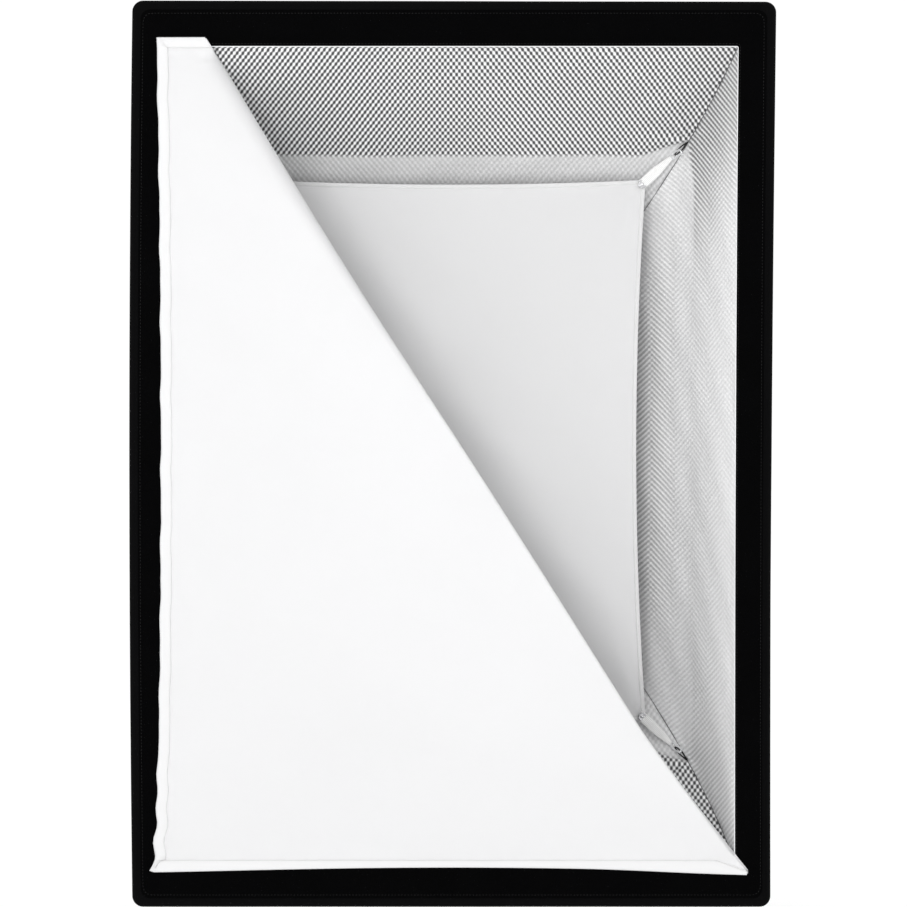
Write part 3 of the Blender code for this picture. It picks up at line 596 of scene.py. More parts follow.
def lining_rows(name):
    """Depths of the rows of a panel's mesh, a quarter of a dimple period apart along the cloth."""
    depths = np.linspace(LINING_LINE["front"][2], LINING_LINE["rear"][2], 900)
    outs = lining_distance(name, np.zeros_like(depths), depths)
    lengths = row_lengths(np.stack([depths, outs], axis=-1))
    wanted = np.arange(0, lengths[-1], DIMPLE_PERIOD / 4)
    return wanted, np.interp(wanted, lengths, depths)


def painted_dimple_shading(name, q, depth):
    """Painted light and shade for the embossed cloth: how strong the painted shade and reflection in the
    dimples' hollows is, which diagonal that painted shade follows, and how much painted light lightens the
    cloth.

    Ahead of the knee the hollows get strong painted shade and the cloth is painted lighter. On the side
    panels the painted shade in the hollows is faint but for the corners and deep in the box, where the cloth
    is also painted lighter, and it leans to and fro as a herringbone."""
    knee = knee_depth(name, q)
    front = 1 - smoothstep(-0.002, 0.004, depth - knee)
    ends = smoothstep(0.45, 0.95, np.abs(q))
    if name in ("top", "bottom"):
        # painted shade and reflection in the hollows, strong ahead of the knee
        painted_pit_shade = 0.24 + 0.74 * front
        turned = 1.0 if name == "top" else 0.2
        # which diagonal of the pattern the painted shade follows
        lean = turned * np.clip(0.9 * q, -0.32, 0.25) * (1 - 2 * front)
        # painted light: ahead of the knee the cloth is painted lighter
        light = 0.70 + 0.17 * front
    else:
        across_z = SIDES[name][0][1]
        near_baffle = smoothstep(0.125, 0.19, depth)
        rim = 1 - smoothstep(0.0, 0.075, depth)
        corner = np.where(q * across_z > 0, 0.60, 0.16)        # the upper corners get stronger painted shade in the hollows than the lower
        # painted shade and reflection in the hollows: at the corners, deep in the box and away from the rim
        painted_pit_shade = 0.07 + corner * ends * front + 0.28 * near_baffle * (1 - ends) + 0.14 * (1 - rim)
        herringbone = np.clip(1.6 * np.sin(2 * math.pi * depth / HERRINGBONE + 0.6), -0.85, 0.85)
        lean = herringbone * (1 - ends) - np.clip(q, -0.7, 0.7) * ends
        # painted light: deep in the box the cloth is painted lighter
        light = 0.84 + 0.16 * smoothstep(0.10, 0.19, depth)
    return np.stack([painted_pit_shade, lean, light], axis=-1)


def zip_rows(first, second, first_base, second_base):
    """Triangles between two rows of points that are sorted across."""
    faces = []
    i = j = 0
    while i < len(first) - 1 or j < len(second) - 1:
        if j == len(second) - 1 or (i < len(first) - 1 and first[i + 1] <= second[j + 1]):
            faces.append((first_base + i, first_base + i + 1, second_base + j))
            i += 1
        else:
            faces.append((first_base + i, second_base + j + 1, second_base + j))
            j += 1
    return faces


def lining_net(lengths, depths, width_part):
    """A panel's points, half a dimple apart across, as (u, v, depth) on the flat cloth, and its faces."""
    rows, faces, base = [], [], 0
    for length, depth in zip(lengths, depths):
        half = line_at_depth(LINING_LINE, depth)[width_part] - SEAM_INSET
        steps = int((half - 0.0012) / (DIMPLE_PITCH / 2))
        u = np.concatenate([[-half], np.arange(-steps, steps + 1) * DIMPLE_PITCH / 2, [half]])
        if rows:
            before = rows[-1][0]
            faces += zip_rows(before, u, base - len(before), base)
        rows.append((u, np.full_like(u, length), np.full_like(u, depth)))
        base += len(u)
    u, v, depth = (np.concatenate(parts) for parts in zip(*rows))
    return u, v, depth, faces


def make_lining_panel(name, look):
    """A panel of embossed cloth, bent at its knee, with its dimples as real relief."""
    across, out = (np.array(d, float) for d in SIDES[name])
    width_part, _ = panel_axes(name)
    lengths, depths = lining_rows(name)
    anchor_v = np.interp(ANCHOR_DEPTH, depths, lengths)
    anchor_u = line_at_depth(LINING_LINE, ANCHOR_DEPTH)[width_part]
    u, v, depth, faces = lining_net(lengths, depths, width_part)
    half = line_at_depth(LINING_LINE, depth)[width_part]
    q = u / half
    distance = lining_distance(name, q, depth)
    edge = smoothstep(0, 0.012, half - np.abs(u)) * smoothstep(0, 0.010, v)
    wave = slow_waves(u, v, 1.3 + len(name)) * 0.0012 * edge
    tight, slant = PANEL_PULL[width_part]
    folds = tension_folds(anchor_u - np.abs(u), v - anchor_v) * edge * tight
    dimple = np.cos(2 * math.pi * u / DIMPLE_PITCH) * np.cos(2 * math.pi * v / DIMPLE_PERIOD)
    lift = wave + folds - DIMPLE_HEIGHT * dimple * edge
    distance = distance - lift * math.cos(slant)
    plane = across[None, :] * u[:, None] + out[None, :] * distance[:, None]
    y = FRONT + depth - lift * math.sin(slant)
    x = plane[:, 0] + rim_shift(plane[:, 0], plane[:, 1], depth)
    made = new_object("lining_" + name, np.stack([x, y, plane[:, 1]], axis=-1), faces, look)
    give_cloth_map(made, u, v)
    # painted shade in the hollows, the diagonal it follows, and painted light, for the silver cloth
    give(made, "dimple", painted_dimple_shading(name, q, depth))
    settle(made, "silver_fabric", "lining_panel_" + name)


def seam_points(line, signs, count=120, lift=0.0, stop=1.0):
    """Points along a corner seam, from its rear end up to a share of its length."""
    points = []
    for i in range(count + 1):
        x, z, depth = corner_line(line, stop * i / count)
        wobble = 0.0003 * math.sin(41.0 * i / count) + 0.0002 * math.sin(97.0 * i / count)
        points.append(leaned((x + lift + wobble) * signs[0], (z + lift + wobble) * signs[1], depth))
    return points


def make_lining_trim(looks):
    """The dark sewn corner seams of the lining, and the turned hem round its front edge."""
    for corner, signs in CORNERS.items():
        points = seam_points(LINING_LINE, signs, lift=-0.0006)
        radii = [0.00038 + 0.00014 * math.sin(0.9 * i) * math.sin(0.37 * i) for i in range(len(points))]
        seam = tube("lining_seam_" + corner, points, radii, looks["seam"], sides=7)
        settle(seam, "silver_fabric")
    outline = rounded_rectangle(OPEN_X - 0.0004, OPEN_Z - 0.0004, 0.0015)
    points = [leaned(x, z, 0, 0.0004) for x, z in outline]
    hem = tube("lining_hem", points, 0.0006, looks["silver_plain"], sides=6, closed=True)
    settle(hem, "silver_fabric")


# ---- front lip -------------------------------------------------------------------------------------
def rounded_rectangle(half_x, half_z, radius, per_side=60, per_corner=10):
    """Points clockwise round a rectangle with round corners, the same number for every size."""
    arcs = []
    for sx, sz, start in ((1, 1, 90), (1, -1, 0), (-1, -1, -90), (-1, 1, -180)):
        centre = Vector((sx * (half_x - radius), sz * (half_z - radius)))
        angles = [math.radians(start - 90 * k / per_corner) for k in range(per_corner + 1)]
        arcs.append([centre + radius * Vector((math.cos(angle), math.sin(angle))) for angle in angles])
    points = []
    for arc, following in zip(arcs, arcs[1:] + arcs[:1]):
        points += arc
        points += [arc[-1].lerp(following[0], k / per_side) for k in range(1, per_side)]
    return points


def frame_grid(rows):
    """Rings of points, each from (half x, half z, corner radius, depth, waviness, share of the swell)."""
    grid = []
    for half_x, half_z, radius, depth, waviness, swollen in rows:
        ring = []
        for x, z in rounded_rectangle(half_x, half_z, radius):
            sideways, upward = swell(x, z)
            x, z = x + sideways * swollen, z + upward * swollen
            wave = waviness * math.sin(23 * x + 1.7) * math.sin(19 * z + 0.6)
            ripple = 0.35 * waviness * math.sin(71 * x - 0.9) * math.sin(67 * z + 1.4)
            ring.append(leaned(x, z, depth, wave + ripple)[:])
        grid.append(ring)
    return np.array(grid)


def ring_lengths(grid):
    """Cloth map of a closed frame: along the ring, and across its width."""
    middle = grid[len(grid) // 2]
    steps = np.linalg.norm(middle - np.roll(middle, 1, axis=0), axis=1)
    return np.meshgrid(np.cumsum(steps), row_lengths(grid[:, 0]))


def make_lip(looks):
    """A flat flange round the opening that rolls back over its outer edge to meet the shell."""
    lip = []
    for k in range(9):
        share = k / 8 * LIP_FLAT_SHARE
        pillow = -0.0006 * math.sin(math.pi * share / LIP_FLAT_SHARE)
        lip.append((OPEN_X + LIP_SIDE * share, OPEN_Z + LIP_END * share, 0.002 + 0.010 * share, pillow,
                    0.0005 * share, share))
    for k in range(1, 9):
        angle = math.radians(90 * k / 8)
        inset = LIP_ROLL * (1 - math.sin(angle))
        lip.append((HALF_WIDTH - inset, HALF_HEIGHT - inset, 0.0105 + 0.0015 * k / 8,
                    LIP_ROLL * (1 - math.cos(angle)), 0.0004, 1.0))
    tuck_x, tuck_z, tuck_depth = corner_line(SHELL_LINE, SHELL_START - 0.006)
    for share, depth in ((0.04, 0.0095), (0.25, 0.0125), (0.65, 0.0160), (1.0, tuck_depth)):
        lip.append((HALF_WIDTH + (tuck_x + 0.0006 - HALF_WIDTH) * share,
                    HALF_HEIGHT + (tuck_z + 0.0006 - HALF_HEIGHT) * share, 0.012 - 0.009 * share, depth,
                    0.0002 * (1 - share), 1 - share))
    grid = frame_grid(lip)
    made = grid_object("front_lip", grid, looks["lip"], closed_across=True)
    give_cloth_map(made, *ring_lengths(grid))
    thicken(made, 0.0010, -1.0)
    settle(made, "shell_fabric", *["lip_" + side for side in SIDES])
    return made


def make_loop_tape(looks, lip):
    """The napped tape sewn on the lip's inner part with a row of stitches near each edge."""
    tape_x, tape_z = LIP_SIDE - LIP_BAND, LIP_END - LIP_BAND
    tape = []
    for share, depth in ((0.012, 0.0), (0.02, -0.0012), (0.06, -0.0016), (0.33, -0.0017), (0.66, -0.0017),
                         (0.94, -0.0016), (0.98, -0.0011), (1.0, 0.0)):
        radius = 0.002 + 0.008 * share
        tape.append((OPEN_X + tape_x * share, OPEN_Z + tape_z * share, radius, depth, 0.00025, share * 0.7))
    grid = frame_grid(tape)
    nap = grid_object("loop_tape", grid, looks["nap"], closed_across=True)
    give_cloth_map(nap, *ring_lengths(grid))
    settle(nap, "loop_tape", *["loop_tape_" + side for side in SIDES])

    rows = []
    for share in (0.06, 0.93):
        outline = rounded_rectangle(OPEN_X + tape_x * share, OPEN_Z + tape_z * share, 0.002 + 0.008 * share)
        points = [leaned(x, z, 0, -0.0018) for x, z in outline]
        rows.append(points + points[:1])
    settle(stitches("loop_tape_stitches", rows, looks["black_thread"]), "shell_fabric")


# ---- shell ------------------------------------------------------------------------------------------
SHELL_ROWS = 70                # and as many columns
SHELL_DEPTH = 0.52             # about the length of its cloth from front to rear
BINDING_REACH = 0.0086         # from the middle of a binding to the stitches on its flanges
BINDING_RISE = 0.0022
BINDING_SLOPE = 0.75           # how its flanges fall away to the two panels


def make_shell_panel(name, looks):
    """A panel of the black outer shell: drawn in between its rods, and gathered at its rear."""
    across, out = SIDES[name]
    width_part, out_part = panel_axes(name)
    t, q = rows_by_columns(np.linspace(0, SHELL_START, SHELL_ROWS), np.linspace(-1, 1, SHELL_ROWS))
    line = corner_line(SHELL_LINE, t)
    half, distance, depth = line[width_part] - 0.0008, line[out_part], line[2]
    u = q * half
    v = (1 - t) * SHELL_DEPTH
    loose = 4 * t * (1 - t) * (1 - q ** 2)
    folds = slow_waves(u, v, 0.7 + len(name)) * 0.0022 * np.sqrt(np.clip(loose, 0, 1))
    gathers = 0.0016 * np.sin(2 * math.pi * u / 0.021 + 2 * np.sin(19 * u)) * np.exp(-t / 0.07) * (1 - q ** 6)
    distance = distance - 0.011 * loose + folds + gathers
    x = across[0] * u + out[0] * distance
    z = across[1] * u + out[1] * distance
    grid = np.stack([x + rim_shift(x, z, depth), FRONT + depth, z], axis=-1)
    made = grid_object("shell_" + name, grid, looks["shell"])
    give_cloth_map(made, u, v)
    thicken(made, 0.0008)
    settle(made, "shell_fabric", "outer_panel_" + name)


def make_shell_corners(looks):
    """Over each rod runs a rounded tunnel of binding, sewn down along both of its flanges."""
    for corner, signs in CORNERS.items():
        points = seam_points(SHELL_LINE, signs, stop=0.950)
        profile = [(-0.0105, -0.0002), (-0.0070, 0.0004)]
        profile += [(0.0052 * math.sin(math.radians(a)), 0.0006 + 0.0040 * math.cos(math.radians(a)))
                    for a in range(-75, 76, 15)]
        profile += [(0.0070, 0.0004), (0.0105, -0.0002)]
        outward = Vector((signs[0], 0, signs[1])).normalized()
        grid, flange_rows = [], ([], [])
        for i, point in enumerate(points):
            along = tangent(points, i)
            up = (outward - along * outward.dot(along)).normalized()
            side = along.cross(up)

            def raised(reach, rise):
                return point + side * reach + up * (rise - abs(reach) * BINDING_SLOPE + BINDING_RISE)

            grid.append([raised(reach, rise)[:] for reach, rise in profile])
            for flange, reach in zip(flange_rows, (-BINDING_REACH, BINDING_REACH)):
                flange.append(raised(reach, 0.0002))
        made = grid_object("shell_binding_" + corner, np.array(grid), looks["shell"])
        v, u = rows_by_columns(np.linspace(0, SHELL_DEPTH, len(points)), [reach for reach, _ in profile])
        give_cloth_map(made, u, v)
        thicken(made, 0.0006, -1.0)
        settle(made, "shell_fabric")
        thread = stitches("binding_stitches_" + corner, flange_rows, looks["black_thread"], outward)
        settle(thread, "shell_fabric")


COLLAR_COLUMNS = 320
COLLAR_PLEATS = 56
COLLAR_TURN = 0.009            # how far its rear edge turns in
COLLAR_MOUTH = 0.0905          # radius of the edge that the elastic holds
KNOB_GAP = 0.0094              # radius of the hole for the lock knob's screw


def make_collar(looks):
    """The gathered rear collar: square where it joins the shell, drawn in round the speedring."""
    square = SHELL_LINE["rear"][0]
    hem_radius = COLLAR_RADIUS - 0.0018
    waist = hem_radius - COLLAR_TURN
    # Each row has a depth, a radius, a share from square to round, and the height of its pleats.
    profile = [(COLLAR_FRONT + 0.0005 + 0.0120 * k / 6, hem_radius, k / 6, 0.0012 * k / 6) for k in range(7)]
    for k in range(1, 9):
        angle = math.radians(90 * k / 8)
        depth = COLLAR_FRONT + 0.0125 + 0.0115 * math.sin(angle)
        radius = hem_radius - COLLAR_TURN * (1 - math.cos(angle))
        profile.append((depth, radius, 1.0, 0.0013 + 0.0004 * k / 8))
    for k in range(1, 4):
        share = k / 3
        radius = waist + (COLLAR_MOUTH - waist) * share
        profile.append((COLLAR_REAR - 0.0015 - 0.0008 * share, radius, 1.0, 0.0017 * (1 - 0.6 * share)))
    grid = []
    for depth, radius, roundness, pleat in profile:
        row = []
        for column in range(COLLAR_COLUMNS):
            angle = 2 * math.pi * column / COLLAR_COLUMNS
            c, s = math.cos(angle), math.sin(angle)
            to_square = square / max(abs(c), abs(s))
            reach = to_square + (radius - to_square) * roundness
            uneven = 0.75 + 0.25 * math.sin(9 * angle)
            gather = math.sin(COLLAR_PLEATS * angle + 1.1 * math.sin(5 * angle)) * uneven
            reach += pleat * gather
            row.append(at(reach * c, reach * s, depth + pleat * 0.5 * gather * roundness)[:])
        grid.append(row)
    grid = np.array(grid)
    rows, count = grid.shape[:2]
    faces = []
    for face in grid_faces(rows, count, closed_across=True):
        middle = grid.reshape(-1, 3)[list(face)].mean(axis=0)
        at_knob = middle[2] > 0 and math.hypot(middle[0], middle[1] - KNOB_AXIS_Y) < KNOB_GAP
        if not at_knob:
            faces.append(face)
    made = new_object("gathered_collar", grid.reshape(-1, 3), faces, looks["shell"])
    v, u = rows_by_columns(np.linspace(0, 0.05, rows), np.arange(count) * 2 * math.pi * hem_radius / count)
    give_cloth_map(made, u, v)
    thicken(made, 0.0008)
    settle(made, "shell_fabric", "rear_collar")
    radius = COLLAR_MOUTH + 0.0007
    points = [at(radius * math.cos(a), radius * math.sin(a), COLLAR_REAR - 0.0022)
              for a in np.linspace(0, 2 * math.pi, 120, endpoint=False)]
    settle(tube("collar_elastic", points, 0.0013, looks["shell_plain"], sides=8, closed=True), "shell_fabric")


# ---- baffle and its corner straps ----------------------------------------------------------------
BAFFLE_PULL = (0.0110, 0.0055)               # how far its sides and its ends are drawn in
BAFFLE_HEM = 0.0048
BAFFLE_ROWS = 110
BAFFLE_COLUMNS = 84
STRAP_START = (0.2205, 0.3070, 0.1475)       # (x, z, depth) under the snap, on the baffle's corner
STRAP_END = (0.2553, 0.3388, 0.1290)
STRAP_WIDTH = 0.0118
STRAP_TAPER = 0.0084                         # how much narrower it is where the slider holds it
CLIP_END = (0.2640, 0.3440, 0.1190)
CLIP_HALF_WIDTH = 0.0034
CLIP_BAR = 0.0016
SNAP_RADIUS = 0.0050
WRAP_TURNS = 4


def baffle_point(q, r):
    """A point of the baffle at shares q and r of its half sizes; its edges are drawn in."""
    x = q * (BAFFLE_HALF[0] - BAFFLE_PULL[0] * (1 - r ** 2) * np.abs(q))
    z = r * (BAFFLE_HALF[1] - BAFFLE_PULL[1] * (1 - q ** 2) * np.abs(r))
    from_side, from_end = 1 - np.abs(q), 1 - np.abs(r)
    turn = np.arctan2(from_side + 1e-4, from_end + 1e-4)
    pull = 0.0016 * np.exp(-np.hypot(from_side, from_end) / 0.22) * np.sin(9 * turn)
    drape = 0.0022 * slow_waves(x * 0.8, z * 0.7, 4.2) * (1 - q ** 4) * (1 - r ** 4)
    return x, z, BAFFLE_DEPTH + 0.0005 + pull * (1 - np.maximum(np.abs(q), np.abs(r)) ** 30) + drape


def baffle_spot(q, r, inset, rise):
    """A point on the baffle a little inside shares q and r, with a rise in depth."""
    inner_q = q * (1 - inset / BAFFLE_HALF[0])
    inner_r = r * (1 - inset / BAFFLE_HALF[1])
    x, z, depth = (float(part) for part in baffle_point(np.float64(inner_q), np.float64(inner_r)))
    return at(x, z, depth + rise)


def make_baffle(looks):
    """The white inner baffle with its hem and stitches."""
    r, q = rows_by_columns(np.linspace(-1, 1, BAFFLE_ROWS), np.linspace(-1, 1, BAFFLE_COLUMNS))
    x, z, depth = baffle_point(q, r)
    grid = np.stack([x, FRONT + depth, z], axis=-1)
    made = grid_object("baffle_cloth", grid, looks["baffle"])
    give_cloth_map(made, x, z)
    thicken(made, 0.0005)
    settle(made, "diffusion_fabric", "inner_baffle")
    edge = []
    for end in (1, -1):
        edge += [(q0, float(-end)) for q0 in np.linspace(-end, end, 90)[:-1]]
        edge += [(float(end), r0) for r0 in np.linspace(-end, end, 120)[:-1]]
    width = BAFFLE_HEM
    profile = ((-0.0004, 0.0004), (-0.0003, -0.0005), (0.0008, -0.0009), (width - 0.001, -0.0009),
               (width, -0.0005), (width + 0.0004, 0.0003))
    grid = np.array([[baffle_spot(q0, r0, inset, rise)[:] for q0, r0 in edge] for inset, rise in profile])
    line = [baffle_spot(q0, r0, width - 0.0014, -0.0009) for q0, r0 in edge]
    hem = grid_object("baffle_hem", grid, looks["baffle_hem"], closed_across=True)
    give_cloth_map(hem, *ring_lengths(grid))
    settle(hem, "diffusion_fabric")
    thread = stitches("baffle_stitches", [line + line[:1]], looks["white_thread"])
    settle(thread, "diffusion_fabric")


def lathe(name, profile, centre, look, sides=28):
    """A solid turned about a line along Y; the profile is (radius, depth)."""
    turns = np.linspace(0, 2 * math.pi, sides, endpoint=False)
    grid = np.array([[(centre[0] + r * math.cos(a), FRONT + d, centre[1] + r * math.sin(a)) for a in turns]
                     for r, d in profile])
    return grid_object(name, grid, look, closed_across=True, capped=True)


def strap_band(name, stations, look, thickness):
    """A flat webbing through stations of (point, width), with softly rounded edges."""
    points = [point for point, _ in stations]
    columns = np.linspace(-1, 1, 9)
    rows = []
    for i, (point, width) in enumerate(stations):
        across, normal = band_axes(tangent(points, i))
        rows.append([(point + across * width / 2 * c + normal * 0.0004 * (1 - c * c))[:] for c in columns])
    made = grid_object(name, np.array(rows), look)
    thicken(made, thickness)
    return made


def make_corner_strap(corner, signs, looks):
    """What holds a corner of the baffle: snap, strap, slider and the cord that is sewn into the seam."""
    def spot(x, z, depth):
        return at(x * signs[0], z * signs[1], depth)

    start, end = Vector(STRAP_START), Vector(STRAP_END)
    direction = (end - start).normalized()
    tail = direction * 0.0045              # the strap's end beyond the snap
    stations = []
    for k in range(25):
        share = k / 24
        point = start - tail + (end - start + tail) * share
        sag = -0.0006 * math.sin(math.pi * share)
        width = STRAP_WIDTH - STRAP_TAPER * max(0.0, (share - 0.45) / 0.55) ** 1.2
        if share < 0.12:
            width *= 0.72 + 0.28 * math.sin(share / 0.12 * math.pi / 2)
        stations.append((spot(point.x, point.y, point.z + sag), width))
    strap = strap_band("elastic_strap_" + corner, stations, looks["elastic"], 0.0009)
    settle(strap, "elastic", "baffle_strap_" + corner)
    make_snap(corner, signs, looks)
    clip_start, clip_end = end - direction * 0.0030, Vector(CLIP_END)
    make_clip(corner, spot, clip_start, clip_end, looks)
    make_cord(corner, spot, clip_start.lerp(clip_end, 0.3), looks)


def make_snap(corner, signs, looks):
    """A snap's dished cap in front of the strap, and its socket behind the baffle."""
    centre = (STRAP_START[0] * signs[0], STRAP_START[1] * signs[1])
    front = STRAP_START[2] - 0.0009
    back = BAFFLE_DEPTH + 0.0016
    cap = [(0.0008, front - 0.0013), (0.0016, front - 0.0012), (0.0021, front - 0.0004),
           (0.0030, front - 0.0005), (0.0038, front - 0.0013), (0.0046, front - 0.0012),
           (SNAP_RADIUS, front - 0.0006), (SNAP_RADIUS, front), (0.0018, front), (0.0018, back),
           (SNAP_RADIUS, back), (SNAP_RADIUS * 0.9, back + 0.0014)]
    snap = lathe("snap_" + corner, cap, centre, looks["snap"])
    settle(snap, "steel", "baffle_snap_" + corner)


def make_clip(corner, spot, start, end, looks):
    """A small moulded slider: a frame round two slots, with a bar between them."""
    a, b = spot(*start), spot(*end)
    along = (b - a).normalized()
    across, normal = band_axes(along)
    length, half, bar = (b - a).length, CLIP_HALF_WIDTH, CLIP_BAR
    shape = bmesh.new()
    bars = [(low, low + bar, -half, half) for low in (0.0, (length - bar) / 2, length - bar)]
    bars += [(0.0, length, -half, -half + 0.0015), (0.0, length, half - 0.0015, half)]
    for low, high, left, right in bars:
        cube = bmesh.ops.create_cube(shape, size=1.0)
        for vert in cube["verts"]:
            reach = low + (high - low) * (vert.co.x + 0.5)
            side = left + (right - left) * (vert.co.y + 0.5)
            vert.co = a + along * reach + across * side + normal * (0.0010 + 0.0022 * vert.co.z)
    made = bmesh_object("strap_slider_" + corner, shape, looks["clear"])
    bevel(made, 0.0004)
    settle(made, "clear_plastic", "strap_clip_" + corner)


def make_cord(corner, spot, start, looks):
    """A short loop of black shock cord over the slider to the lining's seam, with its sewn end."""
    x, z = line_at_depth(LINING_LINE, ANCHOR_DEPTH)
    seam = Vector((x - 0.0012, z - 0.0012, ANCHOR_DEPTH - 0.0004))
    legs = []
    for sign in (-1, 1):
        leg = []
        for k in range(17):
            share = k / 16
            point = start.lerp(seam, share)
            spread = sign * 0.0017 * math.sin(math.pi * min(share * 1.15, 1.0)) ** 0.7
            lift = 0.0030 * (1 - share)
            leg.append(spot(point.x + spread * 0.72, point.y - spread * 0.69, point.z - lift))
        legs.append(leg)
    cord = tube("anchor_cord_" + corner, legs[0] + legs[1][::-1], 0.0008, looks["cord"], sides=9)
    settle(cord, "elastic", "strap_anchor_" + corner)
    wrap = []
    direction = (seam - start).normalized()
    for k in range(60):
        share = k / 59
        turn = 2 * math.pi * WRAP_TURNS * share
        base = seam - direction * (0.0015 + 0.0036 * share)
        swing = 0.0012 * math.cos(turn) * 0.7
        wrap.append(spot(base.x + swing, base.y - swing, base.z - 0.0008 + 0.0011 * math.sin(turn)))
    settle(tube("anchor_whipping_" + corner, wrap, 0.0004, looks["cord"], sides=6), "elastic")


# ---- front diffuser ------------------------------------------------------------------------------
FOLD_TOP = Vector((FOLD_TOP_X, SHEET_HALF[1]))
FOLD_END = Vector((FOLD_END_X, -SHEET_HALF[1]))
FOLD_LENGTH = (FOLD_END - FOLD_TOP).length
FOLD_ALONG = (FOLD_END - FOLD_TOP).normalized()
FOLD_ACROSS = Vector((-FOLD_ALONG.y, FOLD_ALONG.x))      # from the fold towards the loose corner
LOOSE_CORNER = Vector(SHEET_HALF)
TUCK_X = -0.283                # the flap meets the lining here and turns back on itself
TUCK_RADIUS = 0.013
BAFFLE_GAP = 0.012             # the flap hangs at least this far in front of the baffle
FLAP_FRAMES = 45
FLAP_CLOTH = {
    "quality": 7, "mass": 0.10, "tension_stiffness": 30, "compression_stiffness": 20,
    "shear_stiffness": 12, "bending_stiffness": 0.35, "air_damping": 2.0,
}
HEM_WIDTH = 0.0125
HEM_PROFILE = (                # share of the hem's width, and rise in depth
    (0.0, 0.0004), (0.02, -0.0008), (0.10, -0.0011), (0.90, -0.0010), (0.98, -0.0006), (1.0, 0.0002),
)


def over_lip(z):
    """1 where the sheet lies on the lip above or below the opening, 0 where it spans the opening."""
    return float(smoothstep(OPEN_Z - 0.016, OPEN_Z - 0.002, abs(z)))


def fold_radius(share, z):
    """The roll of the fold is soft at the top, tight at the pointed lower end and flat on the lip."""
    free = 0.0040 + 0.0185 * (1 - float(smoothstep(0.10, 0.50, share)))
    return free + (0.0011 - free) * over_lip(z)


def fold_stack(z):
    """On the lip both layers of the fold lie in front of the tape."""
    return -0.0026 * over_lip(z)


def fold_lean(share, z):
    """Between the hems the fold falls a little into the box."""
    return 0.0030 * (1 - share) ** 0.5 * (1 - over_lip(z))


def flap_reach(distance):
    """How far the flap's cloth goes beyond the fold, at a distance along it."""
    foot = (LOOSE_CORNER - FOLD_TOP).dot(FOLD_ALONG)
    height = (LOOSE_CORNER - FOLD_TOP).dot(FOLD_ACROSS)
    if distance < foot:
        return height * distance / foot
    return height * (FOLD_LENGTH - distance) / (FOLD_LENGTH - foot)


def left_edge(z):
    """The stuck edge isn't quite straight, and is wavy towards its lower end."""
    height = z / SHEET_HALF[1]
    ripple = 0.0016 * smoothstep(0.60, 1.0, -height) * (1.4 + np.sin(2 * math.pi * z / 0.036 + 0.8))
    small = 0.0005 * np.sin(2 * math.pi * z / 0.083) + 0.0003 * np.sin(2 * math.pi * z / 0.041 + 1)
    flare = 0.0045 * np.exp(-(z + SHEET_HALF[1]) / 0.010)
    return -0.3258 + 0.0048 * (1 - height ** 2) - ripple + small - flare


def bottom_edge(x):
    """The lower hem rises a little between its two ends."""
    share = (x + SHEET_HALF[0]) / (2 * SHEET_HALF[0])
    tip = 0.0026 * smoothstep(0.72, 0.98, share)
    return -SHEET_HALF[1] - 0.0012 - tip + 0.0052 * np.sin(math.pi * np.clip(share, 0, 1)) ** 1.2


def sheet_relief(x, z):
    """How far the sheet stands off its plane: slack between the tape, and lifted waves at its edge."""
    inside = smoothstep(0, 0.05, x - left_edge(z)) * smoothstep(0, 0.05, SHEET_HALF[1] - np.abs(z))
    slack = 0.0030 * slow_waves(x * 0.62, z * 0.55, 2.6) * inside
    broad = 0.0020 * np.sin(2 * math.pi * (x * 0.9 + z * 0.5) / 0.42) * inside
    lifted = 0.0013 * np.exp(-(x - left_edge(z)) / 0.02) * np.sin(2 * math.pi * z / 0.052) ** 2
    return slack + broad - lifted


def fold_point(distance):
    """The fold hangs a little to the left of a straight line between its ends."""
    point = FOLD_TOP + FOLD_ALONG * distance
    share = distance / FOLD_LENGTH
    if share < FOLD_BOW_AT:
        bow = FOLD_BOW * share / FOLD_BOW_AT
    else:
        bow = FOLD_BOW * (1 - ((share - FOLD_BOW_AT) / (1 - FOLD_BOW_AT)) ** 1.35)
    slack = FOLD_SLACK * math.exp(-((share - FOLD_SLACK_AT) / 0.20) ** 2) * float(smoothstep(0, 0.1, share))
    return point.x - bow - slack, point.y


def front_half_row(share):
    """Points of one row of the stuck half, from its left edge to the apex of the fold."""
    fold_x, fold_z = fold_point(share * FOLD_LENGTH)
    radius = fold_radius(share, fold_z)
    slope = abs(FOLD_ACROSS.x)
    left = float(left_edge(fold_z))
    flat_end = fold_x - radius / slope
    flat_columns = SHEET_COLUMNS - ROLL_COLUMNS
    row = []
    for k in range(flat_columns):
        row.append((left + (flat_end - left) * (1 - (1 - k / flat_columns) ** 1.25), 0.0))
    for k in range(ROLL_COLUMNS):
        angle = math.pi / 2 * (1 - k / ROLL_COLUMNS)
        row.append((fold_x - radius * (1 - math.cos(angle)) / slope, radius * (1 - math.sin(angle))))
    lower = float(smoothstep(0.80, 1.0, share))
    points, flat = [], []
    for x, back in row:
        z = fold_z + (float(bottom_edge(x)) + SHEET_HALF[1]) * lower
        distance_to_fold = (fold_x - x) * slope
        near = math.exp(-max(distance_to_fold - radius, 0) / 0.016)
        shift = fold_lean(share, fold_z) * near + fold_stack(fold_z) * math.exp(-distance_to_fold / 0.04)
        points.append(at(x, z, SHEET_DEPTH + back + shift + float(sheet_relief(x, z)))[:])
        flat.append((x, z))
    return points, flat


